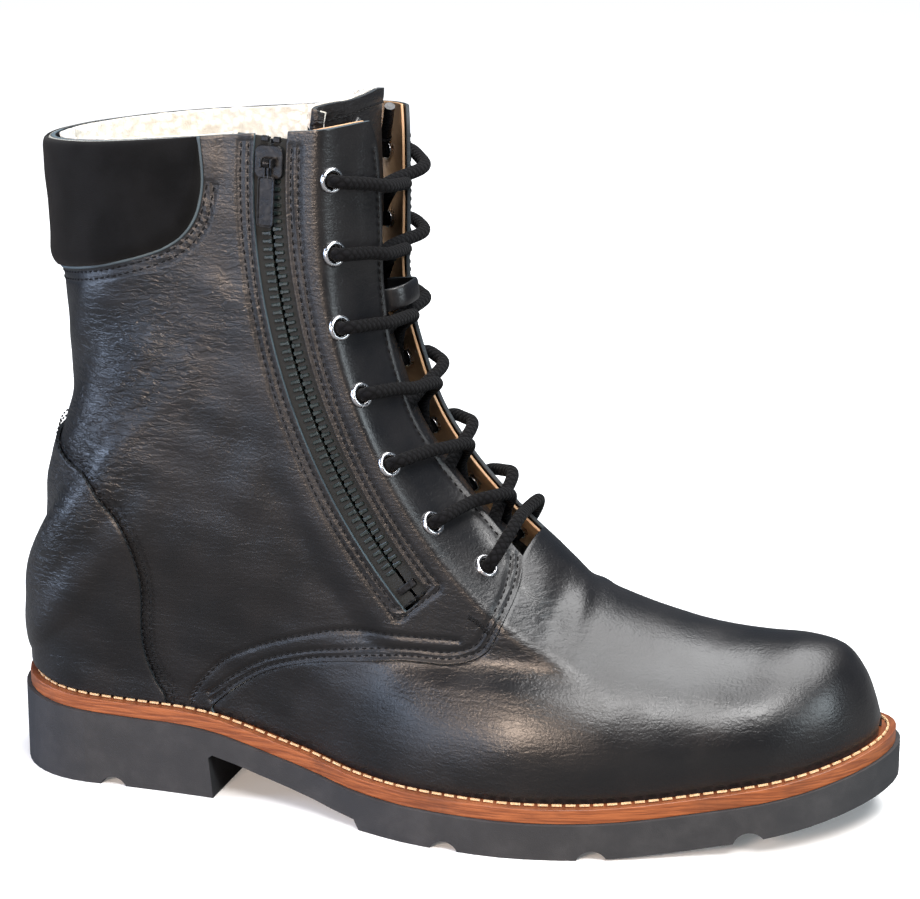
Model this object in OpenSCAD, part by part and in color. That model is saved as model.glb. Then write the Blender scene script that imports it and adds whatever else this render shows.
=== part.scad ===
// Leather ankle boot for the right foot: seven pairs of lace eyelets, a side
// zip on the outer side, a padded collar and a welted rubber sole.
// +X is the toe, +Y the inner side of the foot, +Z up; the origin is on the
// floor under the middle of the boot.

/* [Boot] */
// Length of the outsole from heel to toe
boot_length = 312; // [270:1:350]
// Height of the top edge at the front of the shaft
shaft_height = 235; // [210:1:285]
// Width of the outsole across the ball of the foot
ball_width = 112; // [98:1:136]
// Width of the outsole across the heel
heel_width = 76; // [66:1:90]
// Width across the shaft
shaft_width = 85; // [76:1:100]
// Height of the toe end of the sole above the floor
toe_spring = 14.5; // [8:0.5:20]

/* [Sole] */
// Thickness of the rubber under the forefoot
sole_height = 12; // [9:0.5:16]
// Height of the rubber at the front edge of the heel
heel_height = 24; // [20:0.5:30]
// Extra height of the rubber at the very back
heel_lift = 4.5; // [0:0.5:6]
// Thickness of the rubber over the arch gap
arch_sole = 8; // [6:0.5:10]
// Distance from the middle of the boot back to the front edge of the heel
heel_breast = 75; // [66:1:84]
// Depth of the notches across the tread
notch_depth = 3; // [1.5:0.5:4]
// Width of the notches across the tread
notch_width = 9.5; // [6:0.5:12]
// Thickness of the leather welt
welt_height = 5; // [3:0.5:6]
// How far the outsole edge stands out past the upper
sole_reach = 6.5; // [5:0.5:9]
// How far the welt edge is set back from the outsole edge
welt_inset = 1.5; // [0.5:0.25:2.5]
// Distance from one welt stitch to the next
stitch_pitch = 4.5; // [3.5:0.25:8]
// Thickness of the welt thread
thread_d = 0.9; // [0.6:0.1:1.2]

/* [Leather] */
// Thickness of the upper leather
leather = 1.5; // [1.2:0.1:2]
// How far a panel that lies over another stands out
overlap_step = 0.6; // [0.3:0.1:1]
// Thickness of the wool lining
lining = 2.3; // [1.5:0.1:3]
// Thickness of the thin leather lining behind the eyelets
facing_lining = 0.9; // [0.7:0.1:1.2]
// Thickness of the heel and toe stiffeners
stiffener = 1.1; // [0.8:0.1:1.5]
// Gap between layers that lie on each other
layer_gap = 0.15; // [0.1:0.05:0.3]
// Half of the angle across the front where the tongue shows
gape = 17; // [14:0.5:20]
// How far the collar padding puffs out
collar_puff = 2.4; // [1:0.1:4]

/* [Lacing] */
// Diameter of the round lace
lace_d = 4.4; // [3.5:0.1:4.6]
// Bore of an eyelet
eyelet_bore = 5.2; // [5:0.1:5.8]
// Outer diameter of an eyelet
eyelet_d = 8.6; // [8:0.1:10]
// Wall of an eyelet barrel
eyelet_wall = 0.35; // [0.25:0.05:0.45]
// Length of the tip of the lace
aglet_length = 18; // [12:1:24]

/* [Zip] */
// Radius of the curve that the zip follows
zip_radius = 205; // [190:1:225]
// Width of the slot between the leather edges
zip_slot = 11.2; // [10.6:0.1:13]
// Width of one tape
tape_width = 11.8; // [10:0.1:13]
// Thickness of the tapes
tape_t = 0.8; // [0.5:0.1:1]
// Distance from one tooth to the next on the same tape
tooth_pitch = 2.6; // [2.2:0.1:3.2]
// Reach of a tooth across the zip
tooth_reach = 2.9; // [2.2:0.1:3.2]
// Thickness of a tooth
tooth_t = 2.4; // [1.8:0.1:2.6]
// Gap between the two rows of teeth
zip_parting = 1; // [0.8:0.1:1.4]
// Length of the slider
slider_length = 11; // [9:0.5:13]
// Width of the slider
slider_width = 9.4; // [8:0.1:10]
// Thickness of a slider plate
slider_plate = 1.1; // [0.8:0.1:1.4]
// Diameter of the pin that holds the pull
pull_pin = 1.6; // [1.2:0.1:2]
// Clearance all round the pin inside the pull
pin_clearance = 0.05; // [0.03:0.01:0.1]
// Length of the pull
pull_length = 21; // [14:1:28]
// Width of the pull
pull_width = 5.6; // [4:0.2:7]
// Thickness of the pull
pull_t = 1.3; // [1:0.1:1.6]

/* [Hidden] */
$fn = 32;
eps = 0.01;

// The shape below is drawn for these sizes and stretched to the chosen ones.
drawn_length = 312;
drawn_height = 217;
drawn_ball = 112;
drawn_heel = 76;
drawn_shaft = 85;
sx = boot_length / drawn_length;
sz = (shaft_height - sole_height - welt_height - 1) / drawn_height;

// Where the drawn shape's zero lies from the middle of the sole.
origin = [1.5 * sx, 4.5];

// Ends of the outsole along the foot.
heel_end = -157.5 * sx;
toe_end = 154.5 * sx;
heel_round = 38 * sx;
toe_round = 40 * sx;

// Half width and middle line of the sole along the foot: [x, half width, middle].
plan = [[-160, 38.5, 1], [-138, 38, 1.5], [-118, 37.2, 1.5], [-77, 37, -0.8], [-40, 38, -5],
    [-20, 42.5, -8.5], [0, 48.5, -9.5], [20, 53, -8], [35, 55.5, -6], [50, 56, -3.5], [65, 55, -1],
    [80, 52, 1.2], [95, 48, 3], [110, 44.5, 4.2], [130, 39.5, 6.2], [160, 35, 12]];
// Height of the top of the rubber along the foot, before the toe spring.
sole_top = [[-160, heel_height + heel_lift], [-115, heel_height + heel_lift / 3],
    [-heel_breast - 2, heel_height], [-50, (heel_height + sole_height) / 2],
    [-22, sole_height + 1.2], [10, sole_height + 0.2], [60, sole_height], [160, sole_height]];
// Where the sole starts to lift towards the toe.
spring_start = 45;

// Stations round the boot, from the toe to above the top edge. Each has a point
// on the front line, [x, height over the welt], and one on the bottom or back line.
front_line = [[147.8, 4.5], [145.8, 12.7], [142, 22.6], [135, 32.5], [123, 38], [108, 40.6],
    [92, 44.3], [76, 49.8], [62, 55.6], [50, 62], [38, 73], [26, 83.5], [14, 94.5], [4, 106.5],
    [-4, 120], [-10, 135.5], [-15, 150], [-17, 164], [-17, 178], [-17, 191], [-17, 203], [-17, 217],
    [-17, 229]];
bottom_line = [147.9, 144.5, 139, 130, 116, 98, 78, 56, 34, 10, -16, -45, -76, -108, -136];
back_line = [[-153.5, 20], [-154, 42], [-146.5, 68], [-138, 100], [-133.5, 132], [-135.5, 168],
    [-138.5, 207], [-139.5, 221]];
// Share of each station's depth that the front rounding takes.
front_round = [0.9, 0.9, 0.85, 0.85, 0.85, 0.8, 0.8, 0.8, 0.8, 0.75, 0.68, 0.62, 0.52, 0.44, 0.38,
    0.33, 0.29, 0.26, 0.25, 0.25, 0.25, 0.25, 0.25];
heel_station = len(bottom_line);
rim = 21;
// Half width of the shaft over its height above the welt.
shaft_half = [[0, 37], [45, 38], [62, 39.5], [82, 40.5], [112, 41], [142, 41.5], [182, 42], [222, 42.5]];

// The zip: centre of its curve, the flat that it lies in and its two ends.
zip_centre = [156 * sx, (shaft_height - 23)];
zip_flat = shaft_width / 2 - 1;
flat_reach = tape_width + 2.3;
zip_top = 174.8;
zip_foot = 220.3;
slider_angle = 177;

// Eyelets of one side from the top down: [station, angle round the boot].
eyelets = [[20, 38], [18.35, 37], [16.65, 32.4], [15.1, 30], [13.6, 32], [12.1, 37.5], [10.8, 41]];

// Seam between the vamp and the quarters, from the welt to the throat: [station, angle].
seam = [[12, 179.4], [12.1, 158], [12.06, 134], [11.9, 120], [11.5, 107], [10.82, 93], [10.1, 84],
    [9.78, 74], [9.8, 62], [9.95, 47], [10.2, 33], [10.4, 26]];

// Depths of the layers under the drawn surface.
quarter_in = overlap_step - leather;
facing_out = quarter_in - 0.4;
facing_in = facing_out - facing_lining;
tongue_t = 1.4;
// Heights of an eyelet's two rolled ends, and of the lace over and under them.
eyelet_top = overlap_step + 0.7;
eyelet_low = facing_in - 1.1;
eyelet_roll = 1.05;
lace_over = eyelet_top + eyelet_roll + lace_d / 2 + 0.35;
lace_under = eyelet_low - 0.6 - lace_d / 2 - 0.1;
tongue_out = lace_under - lace_d / 2 - 0.5;
stiff_out = -leather - 2 * layer_gap;
lining_out = stiff_out - stiffener - 2 * layer_gap;

function mix(a, b, f) = a + (b - a) * f;
function clamp(v, lo, hi) = min(max(v, lo), hi);
function smooth(t) = let (c = clamp(t, 0, 1)) c * c * (3 - 2 * c);
// Quarter-round profile: 0 at 0, 1 at 1 and beyond.
function round_off(t) = let (c = clamp(t, 0, 1)) sqrt(1 - (1 - c) * (1 - c));
function hermite(a, b, ta, tb, u) = (2 * u * u * u - 3 * u * u + 1) * a + (u * u * u - 2 * u * u + u) * ta
    + (3 * u * u - 2 * u * u * u) * b + (u * u * u - u * u) * tb;
// Smooth curve through a table whose first column is the position; gives column c.
function curve(tab, x, c = 1) =
    let (n = len(tab) - 1, xc = clamp(x, tab[0][0], tab[n][0]),
        i = min(len([for (r = tab) if (r[0] <= xc) 1]) - 1, n - 1),
        h = tab[i + 1][0] - tab[i][0], d = (tab[i + 1][c] - tab[i][c]) / h,
        db = i > 0 ? (tab[i][c] - tab[i - 1][c]) / (tab[i][0] - tab[i - 1][0]) : d,
        da = i < n - 1 ? (tab[i + 2][c] - tab[i + 1][c]) / (tab[i + 2][0] - tab[i + 1][0]) : d)
    hermite(tab[i][c], tab[i + 1][c], h * (d + db) / 2, h * (d + da) / 2, (xc - tab[i][0]) / h);
// Smooth curve through evenly spaced values, at position k of 0 to n.
function along(list, k) =
    let (n = len(list) - 1, kc = clamp(k, 0, n), i = min(floor(kc), n - 1), d = list[i + 1] - list[i],
        db = i > 0 ? list[i] - list[i - 1] : d, da = i < n - 1 ? list[i + 2] - list[i + 1] : d)
    hermite(list[i], list[i + 1], (d + db) / 2, (d + da) / 2, kc - i);
// Point of a curve given by its corner points, at share t of its length in corners.
function on_curve(list, t) = along(list, t * (len(list) - 1));

function lift(x) = let (t = max(0, x / sx - spring_start) / 109.5) toe_spring * t * t;
function sole_z(x) = curve(sole_top, x / sx) + lift(x);
function welt_z(x) = sole_z(x) + welt_height;
function width_scale(x) = mix(heel_width / drawn_heel, ball_width / drawn_ball, smooth((x / sx + 77) / 97));
function plan_half(x) = curve(plan, x / sx, 1) * width_scale(x);
function plan_mid(x) = curve(plan, x / sx, 2);
// Half width of the sole outline set in by d.
function outline_half(x, d) = (plan_half(x) - d) * round_off((x - heel_end - d) / (heel_round - d))
    * round_off((toe_end - d - x) / (toe_round - d));
function outline_xs(d, n) = [for (i = [0:n]) mix(heel_end + d, toe_end - d, (1 - cos(180 * i / n)) / 2)];
function outline(d, n = 44) = let (xs = outline_xs(d, n))
    concat([for (x = xs) [x, plan_mid(x) - outline_half(x, d)]],
        [for (i = [n - 1:-1:1]) [xs[i], plan_mid(xs[i]) + outline_half(xs[i], d)]]);

front_pts = [for (p = front_line) [p[0] * sx, welt_z(p[0] * sx) + p[1] * sz]];
back_pts = concat([for (x = bottom_line) [x * sx, welt_z(x * sx) + 0.3]],
    [for (p = back_line) [p[0] * sx, welt_z(-150 * sx) - 15 + p[1] * sz]]);
function depth_x(k) = k >= heel_station ? along(back_pts, k)[0] : back_pts[heel_station][0];

// Point of the outer surface: station k, angle q (0 front, -180 outer back, 180 inner back).
function shape(k, q) =
    let (f = along(front_pts, k), b = along(back_pts, k), c = (1 - cos(q)) / 2, p = mix(f, b, c),
        x = p[0], z = p[1], far = norm(b - f), over = z - welt_z(x), s = sin(q) < 0 ? -1 : 1,
        up = smooth(over / 70) * (1 - smooth((x / sx + 5) / 75)),
        toe = round_off((148.3 * sx - x) / (36 * sx)),
        low = (plan_half(x) - sole_reach) * toe,
        high = curve(shaft_half, over / sz) * shaft_width / drawn_shaft,
        puff = 1.6 * sin(180 * clamp(over / 45, 0, 1)) * smooth((x / sx + 60) / 80) * toe,
        shut = round_off((x - depth_x(k)) / (34 + 10 * smooth((z - 60) / 100))),
        w = (mix(low, high, up) + puff) * shut * round_off(c / along(front_round, k)),
        y = plan_mid(x) * (1 - up) + s * w,
        ring = abs(norm([x, z] - zip_centre) - zip_radius),
        flat = s > 0 ? 0 : (1 - smooth((ring - flat_reach) / 11)) * smooth((over - 34) / 16))
    [x, mix(y, -zip_flat, flat), z];
function unit(v) = v / norm(v);
// Outward direction of the surface.
function normal(k, q) =
    let (lim = k < heel_station ? 180 : 999, ka = max(k - 0.06, 0), kb = min(k + 0.06, 22),
        qa = max(q - 3, -lim), qb = min(q + 3, lim))
    unit(cross(shape(k, qb) - shape(k, qa), shape(kb, q) - shape(ka, q)));
function off_surface(k, q, h) = shape(k, q) + h * normal(k, q);
// Angle at which station k crosses the circle of radius r about the zip's centre.
function zip_angle(k, r) =
    let (f = along(front_pts, k), b = along(back_pts, k), d = b - f, e = f - zip_centre,
        qa = d * d, qb = 2 * (d * e), qc = e * e - r * r,
        c = (-qb + sqrt(max(qb * qb - 4 * qa * qc, 0))) / (2 * qa))
    -acos(1 - 2 * clamp(c, 0, 1));
function zip_curve(r, k0, k1, n = 12) = [for (i = [0:n]) let (k = mix(k0, k1, i / n)) [k, zip_angle(k, r)]];
function swap(list) = [for (p = list) [p[0], -p[1]]];

// A skin over the boot's surface. curves: lines from its first edge to its last, each a list of
// [station, angle]; cells: number of cells between them; inner and outer: depths; bow: how far each
// puffs out in the middle; open: cell ranges left out, [row, row, column, column].
module skin(curves, cells, rows, inner, outer, bow = [0, 0], open = [], last = []) {
    starts = [for (i = 0, s = 0; i <= len(cells); s = s + (i < len(cells) ? cells[i] : 0), i = i + 1) s];
    cols = starts[len(cells)];
    spans = [for (j = [0:cols]) min([for (s = [0:len(cells) - 1]) if (j <= starts[s + 1]) s])];
    shares = [for (j = [0:cols]) (j - starts[spans[j]]) / cells[spans[j]]];
    plain = [for (i = [0:rows]) [for (j = [0:cols])
        mix(on_curve(curves[spans[j]], i / rows), on_curve(curves[spans[j] + 1], i / rows), shares[j])]];
    grid = len(last) == 0 ? plain : [for (i = [0:rows]) [for (j = [0:cols])
        plain[i][j] + pow(i / rows, 2) * (on_curve(last, j / cols) - plain[rows][j])]];
    base = [for (r = grid) for (p = r) shape(p[0], p[1])];
    out = [for (r = grid) for (p = r) normal(p[0], p[1])];
    puff = [for (i = [0:rows]) for (j = [0:cols]) (1 - pow(2 * i / rows - 1, 4)) * (1 - pow(2 * j / cols - 1, 4))];
    w = cols + 1;
    all = w * (rows + 1);
    points = concat([for (i = [0:all - 1]) base[i] + (outer + bow[1] * puff[i]) * out[i]],
        [for (i = [0:all - 1]) base[i] + (inner + bow[0] * puff[i]) * out[i]]);
    keep = [for (i = [0:rows - 1]) [for (j = [0:cols - 1])
        len([for (o = open) if (i >= o[0] && i < o[1] && j >= o[2] && j < o[3]) 1]) == 0]];
    function kept(i, j) = i >= 0 && j >= 0 && i < rows && j < cols && keep[i][j];
    function wall(a, b) = [[b, a, a + all], [b, a + all, b + all]];
    faces = [for (i = [0:rows - 1]) for (j = [0:cols - 1]) if (keep[i][j])
        let (a = i * w + j, b = a + 1, c = b + w, d = a + w)
        each concat([[a, b, c], [a, c, d], [c + all, b + all, a + all], [d + all, c + all, a + all]],
            kept(i - 1, j) ? [] : wall(a, b), kept(i, j + 1) ? [] : wall(b, c),
            kept(i + 1, j) ? [] : wall(c, d), kept(i, j - 1) ? [] : wall(d, a))];
    m = floor(rows / 2) * w + floor(cols / 2);
    turn = cross(base[m + 1] - base[m], base[m + w] - base[m]) * out[m];
    polyhedron(points, turn < 0 ? faces : [for (f = faces) [f[2], f[1], f[0]]], convexity = 8);
}

module place() {
    translate([origin[0], origin[1], 0]) children();
}

// Puts a child with its own +Z along the surface's outward direction.
module stand_on(k, q, h = 0) {
    n = normal(k, q);
    translate(off_surface(k, q, h)) rotate([0, acos(n[2]), atan2(n[1], n[0])]) children();
}

// Puts a child on the zip's curve at an angle: its own +X outward from the curve's
// centre, its own +Y down along the zip and its own +Z out of the boot.
module on_zip(angle, depth = 0) {
    translate([zip_centre[0], -zip_flat + depth, zip_centre[1]]) rotate([90, 0, 0]) rotate([0, 0, angle])
        translate([zip_radius, 0, 0]) children();
}

// A flat arc along the zip: from radius r0 to r1, from depth d0 to d1, between two angles.
module zip_band(r0, r1, d0, d1, a0, a1) {
    translate([zip_centre[0], -zip_flat, zip_centre[1]]) rotate([90, 0, 0])
        rotate([0, 0, a0]) rotate_extrude(angle = a1 - a0, $fn = 180)
            translate([r0, -d1]) square([r1 - r0, d1 - d0]);
}

// The space over the sole between two heights above its top, inside its outline set in by d.
module sole_layer(d, low, high, x0 = -1000, x1 = 1000) {
    n = 44;
    a = max(heel_end + d - 1, x0);
    b = min(toe_end - d + 1, x1);
    xs = [for (i = [0:n]) mix(a, b, i / n)];
    side = concat([for (x = xs) [x, sole_z(x) + low]], [for (i = [n:-1:0]) [xs[i], sole_z(xs[i]) + high]]);
    intersection() {
        linear_extrude(height = 100) polygon(outline(d));
        translate([0, 100, 0]) rotate([90, 0, 0]) linear_extrude(height = 200) polygon(side);
    }
}

module outsole() {
    n = 40;
    breast = -heel_breast * sx;
    arch_end = -20 * sx;
    xs = [for (i = [0:n]) mix(heel_end - 1, toe_end + 1, i / n)];
    side = concat([[heel_end - 1, 0], [breast, 0], [breast - 1.5, heel_height - arch_sole - 1.5]],
        [for (i = [0:6]) let (x = mix(breast, arch_end, i / 6)) [x, sole_z(x) - arch_sole - 1.6 * i / 6]],
        [[arch_end + 2, 0]], [for (x = xs) if (x > arch_end + 6) [x, lift(x)]],
        [for (i = [n:-1:0]) [xs[i], sole_z(xs[i])]]);
    r = (notch_width * notch_width / 4 + notch_depth * notch_depth) / (2 * notch_depth);
    color([0.25, 0.25, 0.27]) place() difference() {
        intersection() {
            linear_extrude(height = 60) polygon(outline(0, 56));
            translate([0, 100, 0]) rotate([90, 0, 0]) linear_extrude(height = 200) polygon(side);
        }
        for (x = [-113, 14, 63, 112])
            translate([x * sx, 100, lift(x * sx) + notch_depth - r]) rotate([90, 0, 0]) cylinder(r = r, h = 200, $fn = 48);
    }
}

module welt() {
    color([0.62, 0.32, 0.16]) place() difference() {
        sole_layer(welt_inset, 0.05, welt_height);
        translate([0, 0, -1]) linear_extrude(height = 110) polygon(outline(sole_reach + 9.5));
    }
}

module welt_stitching() {
    d = (welt_inset + sole_reach) / 2 + 0.2;
    line = outline(d, 150);
    path = [for (p = line) [p[0], p[1], welt_z(p[0]) + thread_d / 2 + 0.12]];
    n = len(path);
    run = [for (i = 0, s = 0; i <= n; s = s + (i < n ? norm(path[(i + 1) % n] - path[i]) : 0), i = i + 1) s];
    count = floor(run[n] / stitch_pitch);
    function at(s) = let (i = min(len([for (v = run) if (v <= s) 1]) - 1, n - 1))
        mix(path[i], path[(i + 1) % n], (s - run[i]) / (run[i + 1] - run[i]));
    color([0.85, 0.62, 0.38]) place() for (i = [0:count - 1]) {
        a = at(i * run[n] / count);
        b = at((i + 0.72) * run[n] / count);
        v = b - a;
        translate(a) rotate([0, acos(v[2] / norm(v)), atan2(v[1], v[0])]) cylinder(d = thread_d, h = norm(v), $fn = 5);
    }
}

shank_half = 7;
shank_z = 1.4;
shank_t = 1.2;
module shank_space(gap) {
    intersection() {
        sole_layer(sole_reach + 10, shank_z - gap, shank_z + shank_t + gap, -98 * sx - gap, 2 * sx + gap);
        translate([-98 * sx - gap, plan_mid(-48 * sx) - shank_half - gap, 0])
            cube([100 * sx + 2 * gap, 2 * (shank_half + gap), 60]);
    }
}
module shank() {
    color([0.7, 0.7, 0.72]) place() shank_space(0);
}
module cork_filler() {
    color([0.72, 0.55, 0.36]) place() difference() {
        sole_layer(sole_reach + 9.8, 0.05, welt_height - 0.1);
        shank_space(0.15);
    }
}
insole_in = sole_reach + 6.4;
module insole_board() {
    color([0.8, 0.7, 0.55]) place() sole_layer(insole_in, welt_height + 0.1, welt_height + 2.2);
}
module footbed() {
    color([0.85, 0.82, 0.75]) place() sole_layer(insole_in + 0.2, welt_height + 2.4, welt_height + 6);
}

black = [0.09, 0.09, 0.1];
function lower(list, dk) = [for (p = list) [p[0] - dk, p[1]]];
whole_seam = concat([for (p = seam) [p[0] - 0.014, -p[1]]], [[10.46, -14], [10.48, 0], [10.46, 14]],
    [for (i = [len(seam) - 1:-1:0]) [seam[i][0] - 0.014, seam[i][1]]]);

module vamp() {
    toe_edge = [for (i = [0:12]) [0, -180 + 30 * i]];
    color(black) place() skin([toe_edge, whole_seam], [17], 42, -leather, 0);
}

// Edges that the quarters share.
back_edge = [for (i = [0:10]) [mix(rim, 12, i / 10), 179.4]];
front_edge = [[21, 22], [20.4, gape + 1.5], [19.5, gape], [18, gape - 1], [16.5, gape - 1.5], [15, gape + 1.5],
    [13.5, gape + 3], [12, gape + 4], [11, gape + 7], [10.4, 26]];
facing_seam = [[21, 62], [19.5, 60], [18, 58], [16.5, 54], [15, 52], [13.5, 53], [12.2, 58], [11.2, 62],
    [10.4, 64], [9.81, 62]];
slot_end = 11.25;
rows_slot = 26;
rows_below = 6;
function slot_side(r, foot) = concat(zip_curve(r, rim, slot_end, rows_slot),
    [for (i = [1:rows_below]) let (q0 = zip_angle(slot_end, r))
        [mix(slot_end, foot[0], i / rows_below), mix(q0, foot[1], i / rows_below)]]);
module eyelet_holes(side) {
    for (e = eyelets)
        stand_on(e[0], side * e[1], -6) cylinder(d = eyelet_bore + 2 * eyelet_wall + 0.3, h = 12, $fn = 24);
}
module lateral_quarter() {
    cells = [14, 2, 8];
    cols = cells[0] + cells[1] + cells[2];
    low_edge = swap(seam);
    rear = slot_side(zip_radius + zip_slot / 2, on_curve(low_edge, cells[0] / cols));
    fore = slot_side(zip_radius - zip_slot / 2, on_curve(low_edge, (cells[0] + cells[1]) / cols));
    color(black) place() difference() {
        skin([swap(back_edge), rear, fore, swap(front_edge)], cells, rows_slot + rows_below,
            quarter_in, overlap_step, open = [[0, rows_slot, cells[0], cells[0] + cells[1]]], last = low_edge);
        eyelet_holes(-1);
    }
}
module medial_quarter() {
    color(black) place()
        skin([[for (p = facing_seam) [p[0], p[1] + 0.35]], back_edge], [20], 26, quarter_in, overlap_step,
            last = [for (i = [8:-1:0]) seam[i]]);
}
module medial_facing() {
    color(black) place() difference() {
        skin([front_edge, [for (p = facing_seam) [p[0], p[1] - 0.35]]], [8], 28, quarter_in, overlap_step,
            last = [for (i = [11:-1:8]) seam[i]]);
        eyelet_holes(1);
    }
}

counter_edge = [[18.2, 179], [18.0, 158], [17.3, 128], [16.7, 117], [15.8, 107], [14.9, 106.5], [14.1, 117],
    [13.3, 136], [12.75, 155], [12.6, 167.5]];
counter_back = [[18.2, 179.4], [17.5, 179.4], [16.8, 179.4], [16.1, 179.4], [15.5, 179.2], [15, 176], [14.7, 169],
    [14.1, 168], [13.3, 168], [12.6, 168]];
module heel_counter() {
    inner = overlap_step + 3 * layer_gap;
    color(black) place() for (s = [-1, 1])
        skin([[for (p = counter_back) [p[0], s * p[1]]], [for (p = counter_edge) [p[0], s * (p[1] - 0.8)]]],
            [8], 20, inner, inner + leather - 0.2);
}

// The collar runs round the back between two matching edges.
collar_low = [[20.9, -85], [20.2, -85.5], [19.85, -92], [19.72, -106], [19.8, -125], [19.85, -150], [19.85, -180],
    [19.85, -210], [19.8, -235], [19.72, -254], [19.85, -268], [20.2, -274.5], [20.9, -275]];
collar_high = [for (i = [0:12]) [rim, mix(-85, -275, i / 12)]];
module collar_foam() {
    color([0.6, 0.6, 0.55]) place()
        skin([collar_low, collar_high], [5], 28, overlap_step + 3 * layer_gap, overlap_step + 3 * layer_gap + 0.5,
            bow = [0, collar_puff]);
}
module collar_cover() {
    low = overlap_step + 3 * layer_gap + 0.7;
    color([0.05, 0.05, 0.055]) place()
        skin([collar_low, collar_high], [5], 28, low, low + 1.1, bow = [collar_puff, collar_puff]);
}

module facing_skin(side, rear) {
    edge = [for (p = front_edge) [p[0], side * (p[1] + 1)]];
    color([0.74, 0.55, 0.36]) place() difference() {
        skin([edge, rear], [4], 24, facing_in, facing_out);
        eyelet_holes(side);
    }
}
module lateral_facing_lining() {
    facing_skin(-1, concat(zip_curve(zip_radius - tape_width - 1.6, rim, 11.6, 9), [[10.9, -47], [10.3, -47]]));
}
module medial_facing_lining() {
    facing_skin(1, [[21, 47], [19.5, 46], [18, 45], [16.5, 42], [15, 40], [13.5, 41], [12.2, 45], [11, 49], [10.5, 50],
        [10.2, 50]]);
}

tongue_side = [[21.3, 50], [20, 50], [18, 48], [16, 44], [14, 42], [12.5, 42], [11.4, 36], [10.75, 28]];
tongue_head = [[21.1, -50], [21.45, -25], [21.7, 0], [21.6, 25], [21.3, 50]];
function tongue_grid(shrink) = let (side = [for (p = tongue_side) [p[0], p[1] - shrink]])
    [swap(side), [for (p = side) [p[0] + (p[0] > 21 ? 0.3 : 0), 0]], side];
module tongue() {
    color(black) place() skin(tongue_grid(0), [5, 5], 20, tongue_out - tongue_t, tongue_out);
}
module tongue_lining() {
    outer = tongue_out - tongue_t - 2 * layer_gap;
    color([0.86, 0.84, 0.8]) place() skin(tongue_grid(1), [5, 5], 20, outer - 1.4, outer);
}
module lace_keeper() {
    base = tongue_out + layer_gap;
    rise = lace_d * 2 + 2.8;
    color(black) place()
        skin([[for (i = [0:4]) [16.2, mix(-15, 15, i / 4)]], [for (i = [0:4]) [16.75, mix(-15, 15, i / 4)]]],
            [4], 16, base, base + 1.2, bow = [rise, rise]);
}

module toe_puff() {
    toe_edge = [for (i = [0:12]) [0.35, -176 + 352 * i / 12]];
    rear_edge = [for (i = [0:12]) [3.6, -176 + 352 * i / 12]];
    color([0.75, 0.72, 0.66]) place() skin([toe_edge, rear_edge], [6], 22, stiff_out - stiffener, stiff_out);
}
module heel_stiffener() {
    outer = quarter_in - 0.5;
    color([0.75, 0.72, 0.66]) place() for (s = [-1, 1])
        skin([[for (p = counter_back) [p[0] - 0.1, s * 179]], [for (p = counter_edge) [p[0] - 0.1, s * (p[1] - 6)]]],
            [6], 12, outer - stiffener, outer);
}
module shaft_lining() {
    outer = lining_out - 0.45;
    inner = outer - lining;
    rear = concat(zip_curve(zip_radius + 14.5, 20.9, 12.2, 10), [[12.1, -100]]);
    fore = [[20.9, 62], [19, 60], [17, 56], [15, 54], [13.5, 54], [12.6, 60], [12.1, 66]];
    color([0.88, 0.87, 0.84]) place() {
        skin([[for (i = [0:10]) [mix(20.9, 12.1, i / 10), -179]], rear], [8], 16, inner, outer);
        skin([fore, [for (i = [0:10]) [mix(20.9, 12.1, i / 10), 179]]], [10], 16, inner, outer);
    }
}
module vamp_lining() {
    inner = lining_out - lining;
    toe_edge = [for (i = [0:12]) [0.5, -176 + 352 * i / 12]];
    rear_edge = concat([[12, -176], [12, -140], [11.9, -110], [11, -80], [10.4, -60], [10.2, -35], [10.2, 0]],
        [[10.2, 35], [10.4, 60], [11, 80], [11.9, 110], [12, 140], [12, 176]]);
    color([0.88, 0.87, 0.84]) place() skin([toe_edge, rear_edge], [12], 32, inner, lining_out);
}

// Depths of the zip's layers, counted into the boot from the flat.
tape_depth = leather - overlap_step + layer_gap;
plate_depth = tape_depth + tape_t / 2;
tape_edge = zip_parting / 2 + 0.1;
module zip_tape_front() {
    color([0.06, 0.06, 0.065]) place()
        zip_band(zip_radius - tape_width, zip_radius - tape_edge, tape_depth, tape_depth + tape_t, zip_top, zip_foot);
}
module zip_tape_rear() {
    color([0.06, 0.06, 0.065]) place()
        zip_band(zip_radius + tape_edge, zip_radius + tape_width, tape_depth, tape_depth + tape_t, zip_top, zip_foot);
}
tooth_step = tooth_pitch / zip_radius * 180 / PI;
tooth_first = slider_angle - 0.4;
tooth_count = floor((zip_foot - 2.6 - tooth_first) / tooth_step);
// One tooth clamps the tape from both faces; side is -1 for the front tape and 1 for the rear.
module teeth(side, shift) {
    for (i = [0:tooth_count - 1]) on_zip(tooth_first + (i + shift) * tooth_step)
        for (f = [0, 1]) translate([side > 0 ? zip_parting / 2 : -zip_parting / 2 - tooth_reach, -0.55,
            f == 0 ? 0.05 - tape_depth : -tape_depth - tape_t - 0.05 - (tooth_t - tape_t) / 2])
            cube([tooth_reach, 1.1, (tooth_t - tape_t) / 2]);
}
module zip_teeth_front() {
    color([0.12, 0.13, 0.13]) place() teeth(-1, 0);
}
module zip_teeth_rear() {
    color([0.12, 0.13, 0.13]) place() teeth(1, 0.5);
}
guard_front = 9.2;
guard_rear = 13.6;
guard_depth = 5.6;
module zip_guard() {
    color([0.1, 0.1, 0.105]) place()
        zip_band(zip_radius - guard_front, zip_radius + guard_rear, guard_depth, guard_depth + 1, zip_top + 0.4, zip_foot + 0.8);
}
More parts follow.
